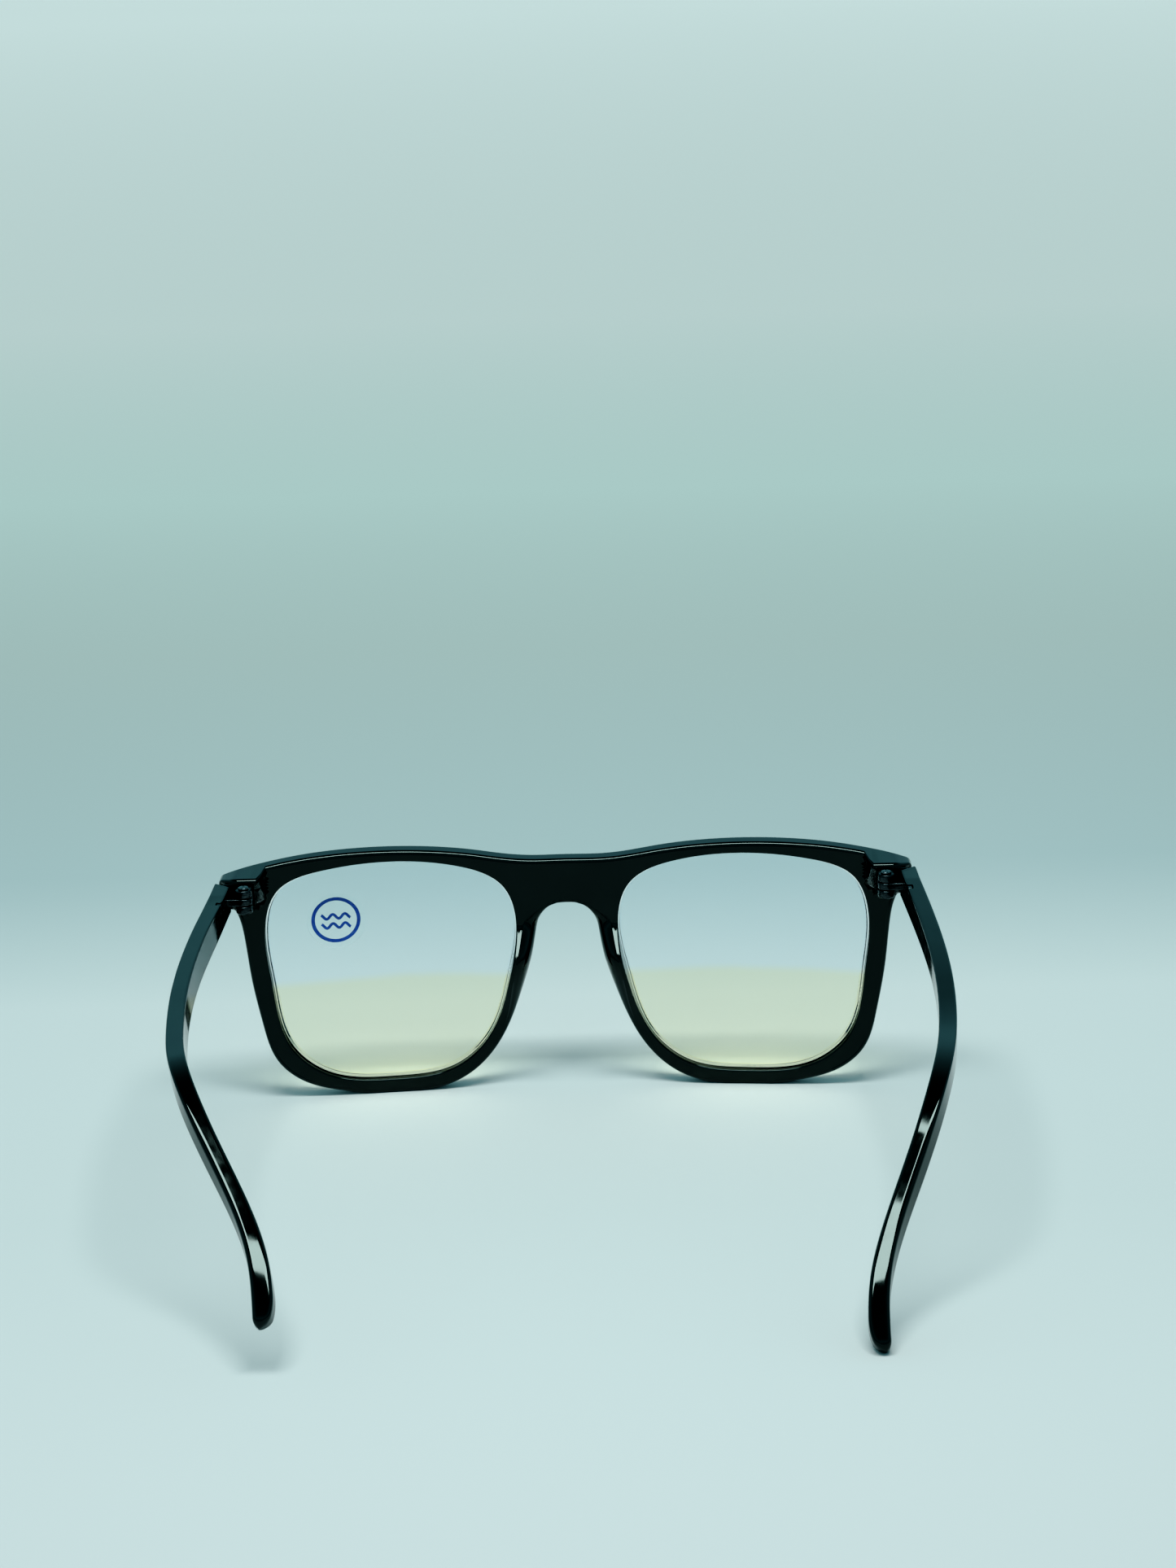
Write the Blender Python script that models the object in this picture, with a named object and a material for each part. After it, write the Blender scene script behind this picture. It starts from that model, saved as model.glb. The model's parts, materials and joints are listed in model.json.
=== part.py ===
"""Full-rim eyeglasses with pale blue-filter lenses, modelled as the pieces they are assembled from.

The glasses stand open on their rim bottoms and temple tips.  +X is the wearer's left, the front faces -Y
and +Z is up.  Lengths below are in millimetres, measured from the back of the bridge at ground level.
MM turns them into the scene's metres, and MIDDLE moves the origin to the middle of the ground that the
open glasses cover.
"""
import math

import bmesh
import bpy
import numpy as np
from mathutils import Matrix

MM = 0.001
MIDDLE = 65.3                   # from the back of the bridge to the middle of the open glasses

# Front: driving dimensions
LENS_CENTRE = (36.5, 27.0)      # middle of the left lens opening, across and up
WRAP_RADIUS = 400.0             # the front curves back towards the temples on this radius
LEAN = math.tan(math.radians(1.0))
LEAN_HEIGHT = 24.0              # the height at which the leaning front keeps its place
RIM_DEPTH = 4.0
EDGE_ROUND = 0.5
OPENING_ROUND = 0.35
BRIDGE_TOP = 49.8
BRIDGE_ARCH = 40.2
FRONT_HALF_WIDTH = 71.2
TOP_CORNER = 1.2                # radius of the end piece's upper outer corner
TOP_CORNER_HEIGHT = 48.1        # height of that corner's centre
TOP_CORNER_START = 72.0         # direction in degrees in which the brow runs into the corner
LOW_CORNER = 1.0
END_BOTTOM = 43.0

# Thicker block at each end of the front, which carries the hinge
BLOCK_REAR = 8.8
BLOCK_INNER = 61.5
BLOCK_LOWER = 42.2
BLOCK_CORNER = 3.5
BLOCK_SLOPE = 1.8
BLOCK_TOP = 50.0                # the block's rear edge runs level at this height
MITRE_START = 68.3              # outwards from here the block's rear is cut back to meet the temple at 45 degrees

# Nose pads moulded in one with the rims
PAD_RISE = 5.4
PAD_CREST = 29.2
PAD_TOP = 35.4
PAD_EASE = 0.15                 # how much of the pad's upper slope is eased; the rest is straight
PAD_FOOT = 12.0
PAD_REACH = 25.0                # the pads lie nearer to the middle than this
PAD_SLANT = 2.0                 # extra rounding of the nose side, across
PAD_SLANT_DEPTH = 3.4           # and front to back
SLANT_TOP = 39.0                # the slanted nose side starts here, above the pad
SLANT_DEPTH = 1.6               # its depth where there is no pad yet

# Lenses
LENS_RADIUS = 130.0
LENS_APEX = -2.6                # middle of the lens, front to back, before lean and wrap
LENS_THICKNESS = 1.4
LENS_GRIP = 0.65                # how far the lens edge reaches into the groove
GROOVE_DEPTH = 0.95
GROOVE_WIDTH = 2.0

# Temples
TEMPLE_THICKNESS = 3.4
TEMPLE_FRONT = 9.15
TEMPLE_MITRE = 2.7              # how much further forward the outer side of the temple's front end lies
TEMPLE_CORNER = 0.9
TIP_THICKNESS = 3.9
TIP_SWELL = (0.8, 0.2)          # where along the temple it starts to thicken, and over which share
TIP_NARROWING = 6.0             # the last stretch, where the tip's inner side curves outwards
TIP_SKEW = 0.55                 # share of its thickness that the tip loses there
TIP_FLATTENING = 0.65           # share of the tip's thickness that its end rounds away
TIP_ANGLES = (30, 55, 75)       # the cross-sections that round off the end, in degrees towards its pole
CORNER_SHARE = 0.9              # most of a cross-section's half side that its rounded corner takes

# Hinges: three knuckles on an upright screw
HINGE_X = 65.5
HINGE_Y = 11.3
KNUCKLE_RADIUS = 1.7
KNUCKLE_GAP = 0.12
HINGE_BOTTOM = 43.75
HINGE_TOP = 48.85
HINGE_MIDDLE = (HINGE_BOTTOM + HINGE_TOP) / 2
MIDDLE_KNUCKLE = 1.5
LUG_INSET = 0.02                # keeps the lug's flanks just inside the knuckle's sides
SCREW_RADIUS = 0.7
SCREW_HOLE = 0.8
SCREW_FOOT = 0.2                # the screw stops this far above the lowest knuckle's foot
SCREW_HEAD_RADIUS = 1.1
SCREW_HEAD_HEIGHT = 0.45
SCREW_HEAD_GAP = 0.1
SCREW_SLOT_HALF = 0.15
SCREW_SLOT_DEPTH = 0.2
PLATE_DEPTH = 0.9
ANCHOR_DEPTH = 3.4
ANCHOR_HALF = 0.8
ANCHOR_INSET = 0.9              # above the plate's foot and below its top
ARM_FRONT = 1.2                 # the temple's hinge arm, ahead of the axis and behind it
ARM_BACK = 1.5
ARM_REACH = 4.6
INSERT_INNER = 3.9              # the plate moulded into the temple, outwards from the axis
INSERT_OUTER = 4.9
INSERT_BACK = 6.5
INSERT_HALF = 1.4
POCKET_GAP = 0.15
OVERCUT = 1.0                   # how far cutting tools reach past the surface they cut

# Round film label on the left lens
LABEL_CENTRE = (48.0, 37.6)
LABEL_RADIUS = 6.2
LABEL_THICKNESS = 0.12
LABEL_GAP = 0.12

# Left half of the outlines, in (across, up)
BROW = [(0.0, BRIDGE_TOP), (7.2, BRIDGE_TOP), (12.5, 50.3), (19.0, 51.4), (28.0, 52.5), (38.5, 53.0),
        (48.0, 52.8), (56.0, 52.1), (63.0, 51.0)]
CHEEK = [(69.2, END_BOTTOM), (67.8, 41.3), (66.8, 37.0), (65.7, 27.0), (63.9, 16.8), (61.3, 8.6), (55.2, 3.2),
         (47.7, 0.9), (42.0, 0.0), (37.0, -0.15), (32.0, 0.0), (26.0, 1.0), (20.2, 4.1), (14.1, 11.4),
         (9.6, 22.6), (6.9, 32.2), (5.9, 36.5), (4.4, 38.9), (2.4, 40.0), (0.0, BRIDGE_ARCH)]
OPENING = [(36.5, 50.6), (50.5, 49.4), (59.3, 45.9), (62.4, 37.0), (61.5, 25.5), (58.2, 11.5), (50.8, 5.0),
           (37.0, 3.1), (24.7, 4.9), (16.8, 11.9), (12.3, 25.0), (10.6, 35.0), (13.0, 44.1), (23.0, 49.1)]

# Where that outline doubles back: the arch lies inwards of and above the first pair of numbers, the end
# block's underside outwards of the next number and between the last two
ARCH_ZONE = (10.0, 32.0)
END_ZONE = (66.0, 38.0, 47.0)

# Centre line of the left temple's top edge, and the temple's height there: (across, back, up, height)
TEMPLE = [(70.2, TEMPLE_FRONT, 48.75, 5.6), (72.6, 35.0, 45.4, 5.4), (73.4, 56.0, 42.4, 5.0),
          (72.3, 76.0, 39.6, 4.8), (68.3, 97.0, 35.9, 4.7), (63.3, 107.5, 26.7, 4.5), (58.4, 117.0, 17.2, 4.3),
          (56.0, 125.0, 10.6, 4.1), (55.6, 132.35, 3.2, 3.8)]

# The left temple is set a little differently from the right one: degrees upwards, outwards and leaning in,
# reached over a short stretch behind the hinge
LEFT_LIFT = 2.9
LEFT_SPREAD = 0.45
LEFT_LEAN = 6.9
SET_STRETCH = 22.0

# Fineness of the meshes
OUTLINE_STEP = 3.6
CORNER_STEPS = 2
SEAM_STEPS = 4
FACE_ROWS = 3
ARC_STEPS = 2
TEMPLE_RINGS = 32
ROUND_SIDES = 20
LENS_RINGS = 4
LENS_SIDES = 56
LABEL_SIDES = 32
SHARP_ANGLE = 40


# ---------------------------------------------------------------------------------------------- curves

def spline(knots, closed=False, tangents=None, density=40):
    """Many points on the cubic spline through the knots."""
    p = np.array(knots, float)
    if closed:
        p = np.vstack([p, p[:1]])
    h = np.linalg.norm(np.diff(p[:, :3], axis=0), axis=1)
    n = len(p)
    a = np.zeros((n, n))
    r = np.zeros_like(p)
    slope = np.diff(p, axis=0) / h[:, None]
    for i in range(1, n - 1):
        a[i, i - 1:i + 2] = h[i - 1], 2 * (h[i - 1] + h[i]), h[i]
        r[i] = 6 * (slope[i] - slope[i - 1])
    if closed:
        a[0, 0], a[0, 1], a[0, n - 2] = 2 * (h[0] + h[-1]), h[0], h[-1]
        r[0] = 6 * (slope[0] - slope[-1])
        a[-1, 0], a[-1, -1] = 1, -1
    elif tangents:
        a[0, 0], a[0, 1] = 2 * h[0], h[0]
        r[0] = 6 * (slope[0] - tangents[0])
        a[-1, -1], a[-1, -2] = 2 * h[-1], h[-1]
        r[-1] = 6 * (tangents[1] - slope[-1])
    else:
        a[0, 0] = a[-1, -1] = 1
    m = np.linalg.solve(a, r)
    out = []
    for i in range(n - 1):
        t = np.linspace(0, 1, density, endpoint=False)[:, None]
        u = 1 - t
        bend = ((u ** 3 - u) * m[i] + (t ** 3 - t) * m[i + 1]) * h[i] ** 2 / 6
        out.append(u * p[i] + t * p[i + 1] + bend)
    out.append(p[-1:])
    return np.vstack(out)


def spaced(points, count):
    """The polyline resampled to count + 1 evenly spaced points."""
    s = np.concatenate([[0], np.cumsum(np.linalg.norm(np.diff(points[:, :3], axis=0), axis=1))])
    at = np.linspace(0, s[-1], count + 1)
    return np.stack([np.interp(at, s, points[:, k]) for k in range(points.shape[1])], -1)


def steps_for(points, step):
    length = np.linalg.norm(np.diff(points, axis=0), axis=1).sum()
    return max(2, round(length / step))


def arc(centre, radius, start, end, steps):
    """Points on an arc, angles in degrees."""
    a = np.radians(np.linspace(start, end, steps + 1))
    return np.stack([centre[0] + radius * np.cos(a), centre[1] + radius * np.sin(a)], -1)


def outer_outline(step, corner_steps):
    """Outer edge of the left half of the front, from the top of the bridge round to its arch."""
    top_corner = arc((FRONT_HALF_WIDTH - TOP_CORNER, TOP_CORNER_HEIGHT), TOP_CORNER, TOP_CORNER_START, 0,
                     corner_steps)
    low_corner = arc((FRONT_HALF_WIDTH - LOW_CORNER, END_BOTTOM + LOW_CORNER), LOW_CORNER, 0, -90, corner_steps)
    into_corner = np.array([1.0, -1.0 / math.tan(math.radians(TOP_CORNER_START))])
    brow = spline(BROW + [tuple(top_corner[0])], tangents=(np.array([1.0, 0.0]), into_corner))
    cheek = spline(CHEEK, tangents=(np.array([-1.0, -0.1]), np.array([-1.0, 0.0])))
    cheek[:, 1] = np.maximum(cheek[:, 1], 0.0)
    side = np.array([top_corner[-1], low_corner[0]])
    parts = [spaced(brow, steps_for(brow, step)), top_corner, spaced(side, steps_for(side, step)), low_corner,
             spaced(cheek, steps_for(cheek, step))]
    joined = [parts[0]]
    for part in parts[1:]:
        skip = 1 if np.linalg.norm(part[0] - joined[-1][-1]) < 1e-6 else 0
        joined.append(part[skip:])
    return np.vstack(joined)


def opening_radius(angle):
    """Distance from the lens centre to the opening's edge."""
    d = spline(OPENING, closed=True)[:-1] - np.array(LENS_CENTRE)
    a = np.arctan2(d[:, 1], d[:, 0])
    order = np.argsort(a)
    return np.interp(angle, a[order], np.hypot(d[order, 0], d[order, 1]), period=2 * math.pi)


def polar(angle, radius):
    return np.stack([LENS_CENTRE[0] + radius * np.cos(angle), LENS_CENTRE[1] + radius * np.sin(angle)], -1)


def normals(points, closed):
    """Unit normals on the right-hand side of a path."""
    if closed:
        d = np.roll(points, -1, axis=0) - np.roll(points, 1, axis=0)
    else:
        d = np.gradient(points, axis=0)
        d[0] = (1, 0)
        d[-1] = (-1, 0)
    d /= np.linalg.norm(d, axis=1)[:, None]
    return np.stack([d[:, 1], -d[:, 0]], -1)


# ------------------------------------------------------------------------------------ shape of the front

def smooth(t):
    t = np.clip(t, 0.0, 1.0)
    return t * t * (3 - 2 * t)


def rear_base(x, z):
    return x * x / (2 * WRAP_RADIUS) - (z - LEAN_HEIGHT) * LEAN


def front_face(x, z):
    return rear_base(x, z) - RIM_DEPTH


def block_share(x, z):
    """1 on the hinge block, 0 on the rim, with a soft step between."""
    dx = x - BLOCK_INNER
    dz = z - BLOCK_LOWER
    corner = BLOCK_CORNER - np.hypot(BLOCK_CORNER - dx, BLOCK_CORNER - dz)
    inside = np.where((dx < BLOCK_CORNER) & (dz < BLOCK_CORNER), corner, np.minimum(dx, dz))
    return smooth(inside / BLOCK_SLOPE)


def block_drop(x, z):
    """How far the rear edge of the end block lies below the brow."""
    return np.maximum(z - BLOCK_TOP, 0.0) * smooth((x - BLOCK_INNER) / BLOCK_SLOPE)


def pad_share(x, z):
    """1 at the crest of a nose pad, fading to 0 above and below it."""
    down = np.clip((PAD_TOP - z) / (PAD_TOP - PAD_CREST), 0.0, 1.0)
    above = PAD_EASE * smooth(down) + (1 - PAD_EASE) * down
    below = smooth((z - PAD_FOOT) / (PAD_CREST - PAD_FOOT))
    return np.where(x < PAD_REACH, above * below, 0.0)


def slant_share(x, z):
    """1 along a nose pad and its upper slope, fading out towards the bridge and the pad's foot."""
    above = smooth((SLANT_TOP - z) / (SLANT_TOP - PAD_TOP))
    below = smooth((z - PAD_FOOT) / (PAD_CREST - PAD_FOOT))
    return np.where(x < PAD_REACH, above * below, 0.0)


def rear_face(x, z):
    base = rear_base(x, z) + PAD_RISE * pad_share(x, z)
    share = block_share(x, z)
    block = BLOCK_REAR - np.maximum(x - MITRE_START, 0.0)
    return base * (1 - share) + block * share


def lens_middle(x, z):
    """Middle surface of the left lens, front to back."""
    dx = x - LENS_CENTRE[0]
    dz = z - LENS_CENTRE[1]
    wrap = dx * LENS_CENTRE[0] / WRAP_RADIUS
    return LENS_APEX + wrap + (dx * dx + dz * dz) / (2 * LENS_RADIUS) - (z - LEAN_HEIGHT) * LEAN


def place(flat, depth):
    return np.stack([flat[:, 0], depth, flat[:, 1]], -1)


def edge_rows(outline, inward, steps):
    """Rounded outer edge: rows from the front face, over the wall, to the rear face."""
    x, z = outline[:, 0], outline[:, 1]
    pad = pad_share(x, z)
    drop = block_drop(x, z)
    slant = slant_share(x, z)
    across = EDGE_ROUND + PAD_SLANT * slant
    deep = EDGE_ROUND + PAD_SLANT_DEPTH * pad + SLANT_DEPTH * (slant - pad)
    rows = []
    for a in np.radians(np.linspace(0, 90, steps + 1)):
        flat = outline + inward * (EDGE_ROUND * (1 - math.sin(a)))
        rows.append(place(flat, front_face(x, z) + EDGE_ROUND * (1 - math.cos(a))))
    for a in np.radians(np.linspace(90, 0, steps + 1)):
        flat = outline + inward * (drop + across * (1 - math.sin(a)))[:, None]
        rows.append(place(flat, rear_face(x, z) - deep * (1 - math.cos(a))))
    inset_front = outline + inward * EDGE_ROUND
    inset_rear = outline + inward * (drop + across)[:, None]
    rows[0][:, 1] = front_face(inset_front[:, 0], inset_front[:, 1])
    rows[-1][:, 1] = rear_face(inset_rear[:, 0], inset_rear[:, 1])
    return rows, inset_front, inset_rear


def opening_rows(edge, outward, steps):
    """Rounded lips and lens groove of the opening: rows from the rear face to the front face."""
    x, z = edge[:, 0], edge[:, 1]
    middle = lens_middle(x, z)
    rows = []
    for a in np.radians(np.linspace(0, 90, steps + 1)):
        rows.append(place(edge + outward * (OPENING_ROUND * (1 - math.sin(a))),
                          rear_face(x, z) - OPENING_ROUND * (1 - math.cos(a))))
    for reach, side in ((0, 1), (GROOVE_DEPTH, 1), (GROOVE_DEPTH, -1), (0, -1)):
        rows.append(place(edge + outward * reach, middle + side * GROOVE_WIDTH / 2))
    for a in np.radians(np.linspace(90, 0, steps + 1)):
        rows.append(place(edge + outward * (OPENING_ROUND * (1 - math.sin(a))),
                          front_face(x, z) + OPENING_ROUND * (1 - math.cos(a))))
    lip = edge + outward * OPENING_ROUND
    rows[0][:, 1] = rear_face(lip[:, 0], lip[:, 1])
    rows[-1][:, 1] = front_face(lip[:, 0], lip[:, 1])
    return rows, lip


def lens_angles(loop):
    """For each point of the outer loop, the angle on the opening that it is joined to.

    Under the bridge and under the end block, where the loop doubles back, the angles are spread evenly.
    """
    d = loop - np.array(LENS_CENTRE)
    a = np.unwrap(np.arctan2(d[:, 1], d[:, 0]))
    arch = (loop[:, 0] < ARCH_ZONE[0]) & (loop[:, 1] > ARCH_ZONE[1])
    end = (loop[:, 0] > END_ZONE[0]) & (loop[:, 1] > END_ZONE[1]) & (loop[:, 1] < END_ZONE[2])
    spread = arch | end
    shift = int(np.argmin(spread))
    spread = np.roll(spread, -shift)
    a = np.unwrap(np.roll(a, -shift))
    index = np.arange(len(a))
    turn = np.append(a, a[0] + np.sign(a[-1] - a[0]) * 2 * math.pi)
    keep = np.append(~spread, True)
    full = np.interp(index, np.append(index, len(a))[keep], turn[keep])
    return np.roll(full, shift)


# ------------------------------------------------------------------------------------------ mesh helpers

def add_patch(bm, rows, closed):
    """Quads between successive rows of points, in millimetres."""
    verts = [[bm.verts.new(tuple(p * MM)) for p in row] for row in rows]
    for low, high in zip(verts, verts[1:]):
        count = len(low)
        for j in range(count if closed else count - 1):
            k = (j + 1) % count
            bm.faces.new((low[j], low[k], high[k], high[j]))


def mirror_into(bm):
    """Add the mirror image across the middle plane."""
    copy = bmesh.ops.duplicate(bm, geom=bm.verts[:] + bm.edges[:] + bm.faces[:])["geom"]
    for item in copy:
        if isinstance(item, bmesh.types.BMVert):
            item.co.x = -item.co.x


def material(name, colour, roughness, metallic=0.0, transmission=0.0):
    mat = bpy.data.materials.new(name)
    mat.use_nodes = True
    shader = mat.node_tree.nodes["Principled BSDF"]
    shader.inputs["Base Color"].default_value = (*colour, 1.0)
    shader.inputs["Roughness"].default_value = roughness
    shader.inputs["Metallic"].default_value = metallic
    shader.inputs["Transmission Weight"].default_value = transmission
    return mat


def make_object(name, bm, mat, pivot=None):
    """Closed mesh object; its origin goes to the pivot, in millimetres."""
    bmesh.ops.remove_doubles(bm, verts=bm.verts[:], dist=1e-6)
    bmesh.ops.recalc_face_normals(bm, faces=bm.faces[:])
    if bm.calc_volume(signed=True) < 0:
        bmesh.ops.reverse_faces(bm, faces=bm.faces[:])
    mesh = bpy.data.meshes.new(name)
    if pivot is not None:
        bmesh.ops.translate(bm, verts=bm.verts[:], vec=[-c * MM for c in pivot])
    bm.to_mesh(mesh)
    bm.free()
    mesh.shade_smooth()
    mesh.set_sharp_from_angle(angle=math.radians(SHARP_ANGLE))
    mesh.materials.append(mat)
    obj = bpy.data.objects.new(name, mesh)
    bpy.context.scene.collection.objects.link(obj)
    if pivot is not None:
        obj.location = [c * MM for c in pivot]
    return obj


def boolean(target, tool, operation):
    """Apply a Boolean with a helper object and remove the helper."""
    mod = target.modifiers.new(operation.lower(), "BOOLEAN")
    mod.operation = operation
    mod.solver = "EXACT"
    mod.object = tool
    bpy.context.view_layer.update()
    evaluated = target.evaluated_get(bpy.context.evaluated_depsgraph_get())
    mesh = bpy.data.meshes.new_from_object(evaluated)
    target.modifiers.remove(mod)
    target.data = mesh
    bpy.data.objects.remove(tool)


def box(low, high):
    """Box mesh between two corners, in millimetres."""
    bm = bmesh.new()
    bmesh.ops.create_cube(bm, size=1.0)
    for v in bm.verts:
        v.co = [MM * (low[k] if v.co[k] < 0 else high[k]) for k in range(3)]
    return bm


def cylinder(x, y, bottom, top, radius, sides=ROUND_SIDES):
    """Upright cylinder mesh, in millimetres."""
    bm = bmesh.new()
    bmesh.ops.create_cone(bm, cap_ends=True, segments=sides, radius1=radius * MM, radius2=radius * MM,
                          depth=(top - bottom) * MM)
    bmesh.ops.translate(bm, verts=bm.verts[:], vec=(x * MM, y * MM, (bottom + top) / 2 * MM))
    return bm


def sided(side, low, high):
    """Corners of a box that is given for the left side, mirrored for side -1."""
    xs = sorted((side * low[0], side * high[0]))
    return (xs[0], low[1], low[2]), (xs[1], high[1], high[2])


# ----------------------------------------------------------------------------------------------- pieces

def front_frame(mat):
    """Both rims, the bridge, the nose pads and the end blocks in one moulding."""
    outline = outer_outline(OUTLINE_STEP, CORNER_STEPS)
    strip, inset_front, inset_rear = edge_rows(outline, normals(outline, False), ARC_STEPS)
    bm = bmesh.new()
    add_patch(bm, strip, closed=False)
    loops = []
    for inset in (inset_front, inset_rear):
        seam = spaced(np.array([inset[-1], inset[0]]), SEAM_STEPS)[1:-1]
        loops.append(np.vstack([inset, seam]))
    angle = lens_angles(loops[0])
    edge = polar(angle, opening_radius(angle))
    outward = -normals(edge, True)
    if np.mean(np.sum(outward * (edge - np.array(LENS_CENTRE)), axis=1)) < 0:
        outward = -outward
    rows, lip = opening_rows(edge, outward, ARC_STEPS)
    add_patch(bm, rows, closed=True)
    for loop, depth in zip(loops, (front_face, rear_face)):
        flats = [loop + (lip - loop) * t for t in np.linspace(0, 1, FACE_ROWS + 1)]
        add_patch(bm, [place(flat, depth(flat[:, 0], flat[:, 1])) for flat in flats], closed=True)
    mirror_into(bm)
    frame = make_object("front_frame", bm, mat)
    for side in (1, -1):
        cut_boxes(frame, hinge_pockets(), side, mat)
    return frame


def cut_boxes(target, pockets, side, mat):
    """Cut overlapping boxes out of a piece in one go."""
    first, *others = [box(*sided(side, low, high)) for low, high in pockets]
    boolean(target, join_all("pocket", first, others, mat), "DIFFERENCE")


def plate_box():
    """Hinge plate sunk into the block's rear face."""
    return ((HINGE_X - KNUCKLE_RADIUS, BLOCK_REAR - PLATE_DEPTH, HINGE_BOTTOM),
            (HINGE_X + KNUCKLE_RADIUS, BLOCK_REAR, HINGE_TOP))


def anchor_box():
    """Tang behind the plate, moulded into the block."""
    return ((HINGE_X - ANCHOR_HALF, BLOCK_REAR - ANCHOR_DEPTH, HINGE_BOTTOM + ANCHOR_INSET),
            (HINGE_X + ANCHOR_HALF, BLOCK_REAR - PLATE_DEPTH / 2, HINGE_TOP - ANCHOR_INSET))


def hinge_pockets():
    """Recesses in the block for the plate, open to the rear, and for its tang."""
    plate, anchor = [grown(*corners) for corners in (plate_box(), anchor_box())]
    plate[1][1] = BLOCK_REAR + OVERCUT
    return [plate, anchor]


def grown(low, high):
    """A box with the pocket's clearance all round."""
    return np.array(low) - POCKET_GAP, np.array(high) + POCKET_GAP


def temple_arm_box():
    """Arm from the middle knuckle to the temple."""
    _, (bottom, top), _ = knuckle_levels()
    return (HINGE_X, HINGE_Y - ARM_FRONT, bottom), (HINGE_X + ARM_REACH, HINGE_Y + ARM_BACK, top)


def temple_anchor_box():
    """Plate moulded into the temple."""
    return ((HINGE_X + INSERT_INNER, HINGE_Y - ARM_FRONT, HINGE_MIDDLE - INSERT_HALF),
            (HINGE_X + INSERT_OUTER, HINGE_Y + INSERT_BACK, HINGE_MIDDLE + INSERT_HALF))


def knuckle_levels():
    """Bottom and top of the lower, middle and upper knuckle."""
    bottom = HINGE_MIDDLE - MIDDLE_KNUCKLE / 2
    top = HINGE_MIDDLE + MIDDLE_KNUCKLE / 2
    return [(HINGE_BOTTOM, bottom - KNUCKLE_GAP), (bottom, top), (top + KNUCKLE_GAP, HINGE_TOP)]


def join_all(name, base, extras, mat):
    """Union of several meshes as one body."""
    obj = make_object(name, base, mat)
    for extra in extras:
        boolean(obj, make_object("extra", extra, mat), "UNION")
    return obj


def drill(obj, side, mat):
    hole = cylinder(side * HINGE_X, HINGE_Y, HINGE_BOTTOM - OVERCUT, HINGE_TOP + OVERCUT, SCREW_HOLE)
    boolean(obj, make_object("drill", hole, mat), "DIFFERENCE")


def front_hinge(name, side, mat):
    """Plate and tang in the block, with the lower and upper knuckles."""
    lower, _, upper = knuckle_levels()
    extras = [box(*sided(side, *anchor_box()))]
    for bottom, top in (lower, upper):
        extras.append(cylinder(side * HINGE_X, HINGE_Y, bottom, top, KNUCKLE_RADIUS))
        lug_low = (HINGE_X - KNUCKLE_RADIUS + LUG_INSET, BLOCK_REAR - PLATE_DEPTH / 2, bottom)
        lug_high = (HINGE_X + KNUCKLE_RADIUS - LUG_INSET, HINGE_Y, top)
        extras.append(box(*sided(side, lug_low, lug_high)))
    obj = join_all(name, box(*sided(side, *plate_box())), extras, mat)
    drill(obj, side, mat)
    return obj


def temple_hinge(name, side, mat):
    """Middle knuckle with its arm and the plate that anchors it in the temple."""
    bottom, top = knuckle_levels()[1]
    extras = [box(*sided(side, *temple_arm_box())), box(*sided(side, *temple_anchor_box()))]
    obj = join_all(name, cylinder(side * HINGE_X, HINGE_Y, bottom, top, KNUCKLE_RADIUS), extras, mat)
    drill(obj, side, mat)
    move_origin(obj, (side * HINGE_X, HINGE_Y, 0.0))
    return obj


def move_origin(obj, pivot):
    """Put the origin on the joint's axis without moving the shape."""
    shift = [c * MM for c in pivot]
    for v in obj.data.vertices:
        v.co = [v.co[k] - shift[k] for k in range(3)]
    obj.location = shift


def hinge_screw(name, side, mat):
    """Screw with a flat slotted head on top."""
    x = side * HINGE_X
    head_bottom = HINGE_TOP + SCREW_HEAD_GAP
    head_top = head_bottom + SCREW_HEAD_HEIGHT
    shaft_top = head_bottom + SCREW_HEAD_HEIGHT / 3
    obj = make_object(name, cylinder(x, HINGE_Y, HINGE_BOTTOM + SCREW_FOOT, shaft_top, SCREW_RADIUS), mat)
    head = cylinder(x, HINGE_Y, head_bottom, head_top, SCREW_HEAD_RADIUS)
    boolean(obj, make_object("head", head, mat), "UNION")
    reach = SCREW_HEAD_RADIUS + OVERCUT
    slot = box((x - SCREW_SLOT_HALF, HINGE_Y - reach, head_top - SCREW_SLOT_DEPTH),
               (x + SCREW_SLOT_HALF, HINGE_Y + reach, head_top + OVERCUT))
    boolean(obj, make_object("slot", slot, mat), "DIFFERENCE")
    return obj


def ring(centre, side, up, half_thick, half_high, corner):
    """Rounded rectangle around a point of the temple, two points on each corner."""
    c = min(corner, half_thick * CORNER_SHARE, half_high * CORNER_SHARE)
    points = []
    for sx, sz in ((1, 1), (-1, 1), (-1, -1), (1, -1)):
        near_side = (sx * half_thick, sz * (half_high - c))
        near_top = (sx * (half_thick - c), sz * half_high)
        pair = [near_side, near_top] if sx * sz > 0 else [near_top, near_side]
        points += [centre + side * a + up * b for a, b in pair]
    return np.array(points)


def half_thickness(share):
    """Half the temple's thickness at a share of its length."""
    start, stretch = TIP_SWELL
    return (TEMPLE_THICKNESS + (TIP_THICKNESS - TEMPLE_THICKNESS) * float(smooth((share - start) / stretch))) / 2


def tip_loss(remaining):
    """Share of the thickness that the tip's inner side has lost, this far before its end."""
    past = min(max(1 - remaining / TIP_NARROWING, 0.0), 1.0)
    return TIP_SKEW * (1 - math.sqrt(1 - past * past))


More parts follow.
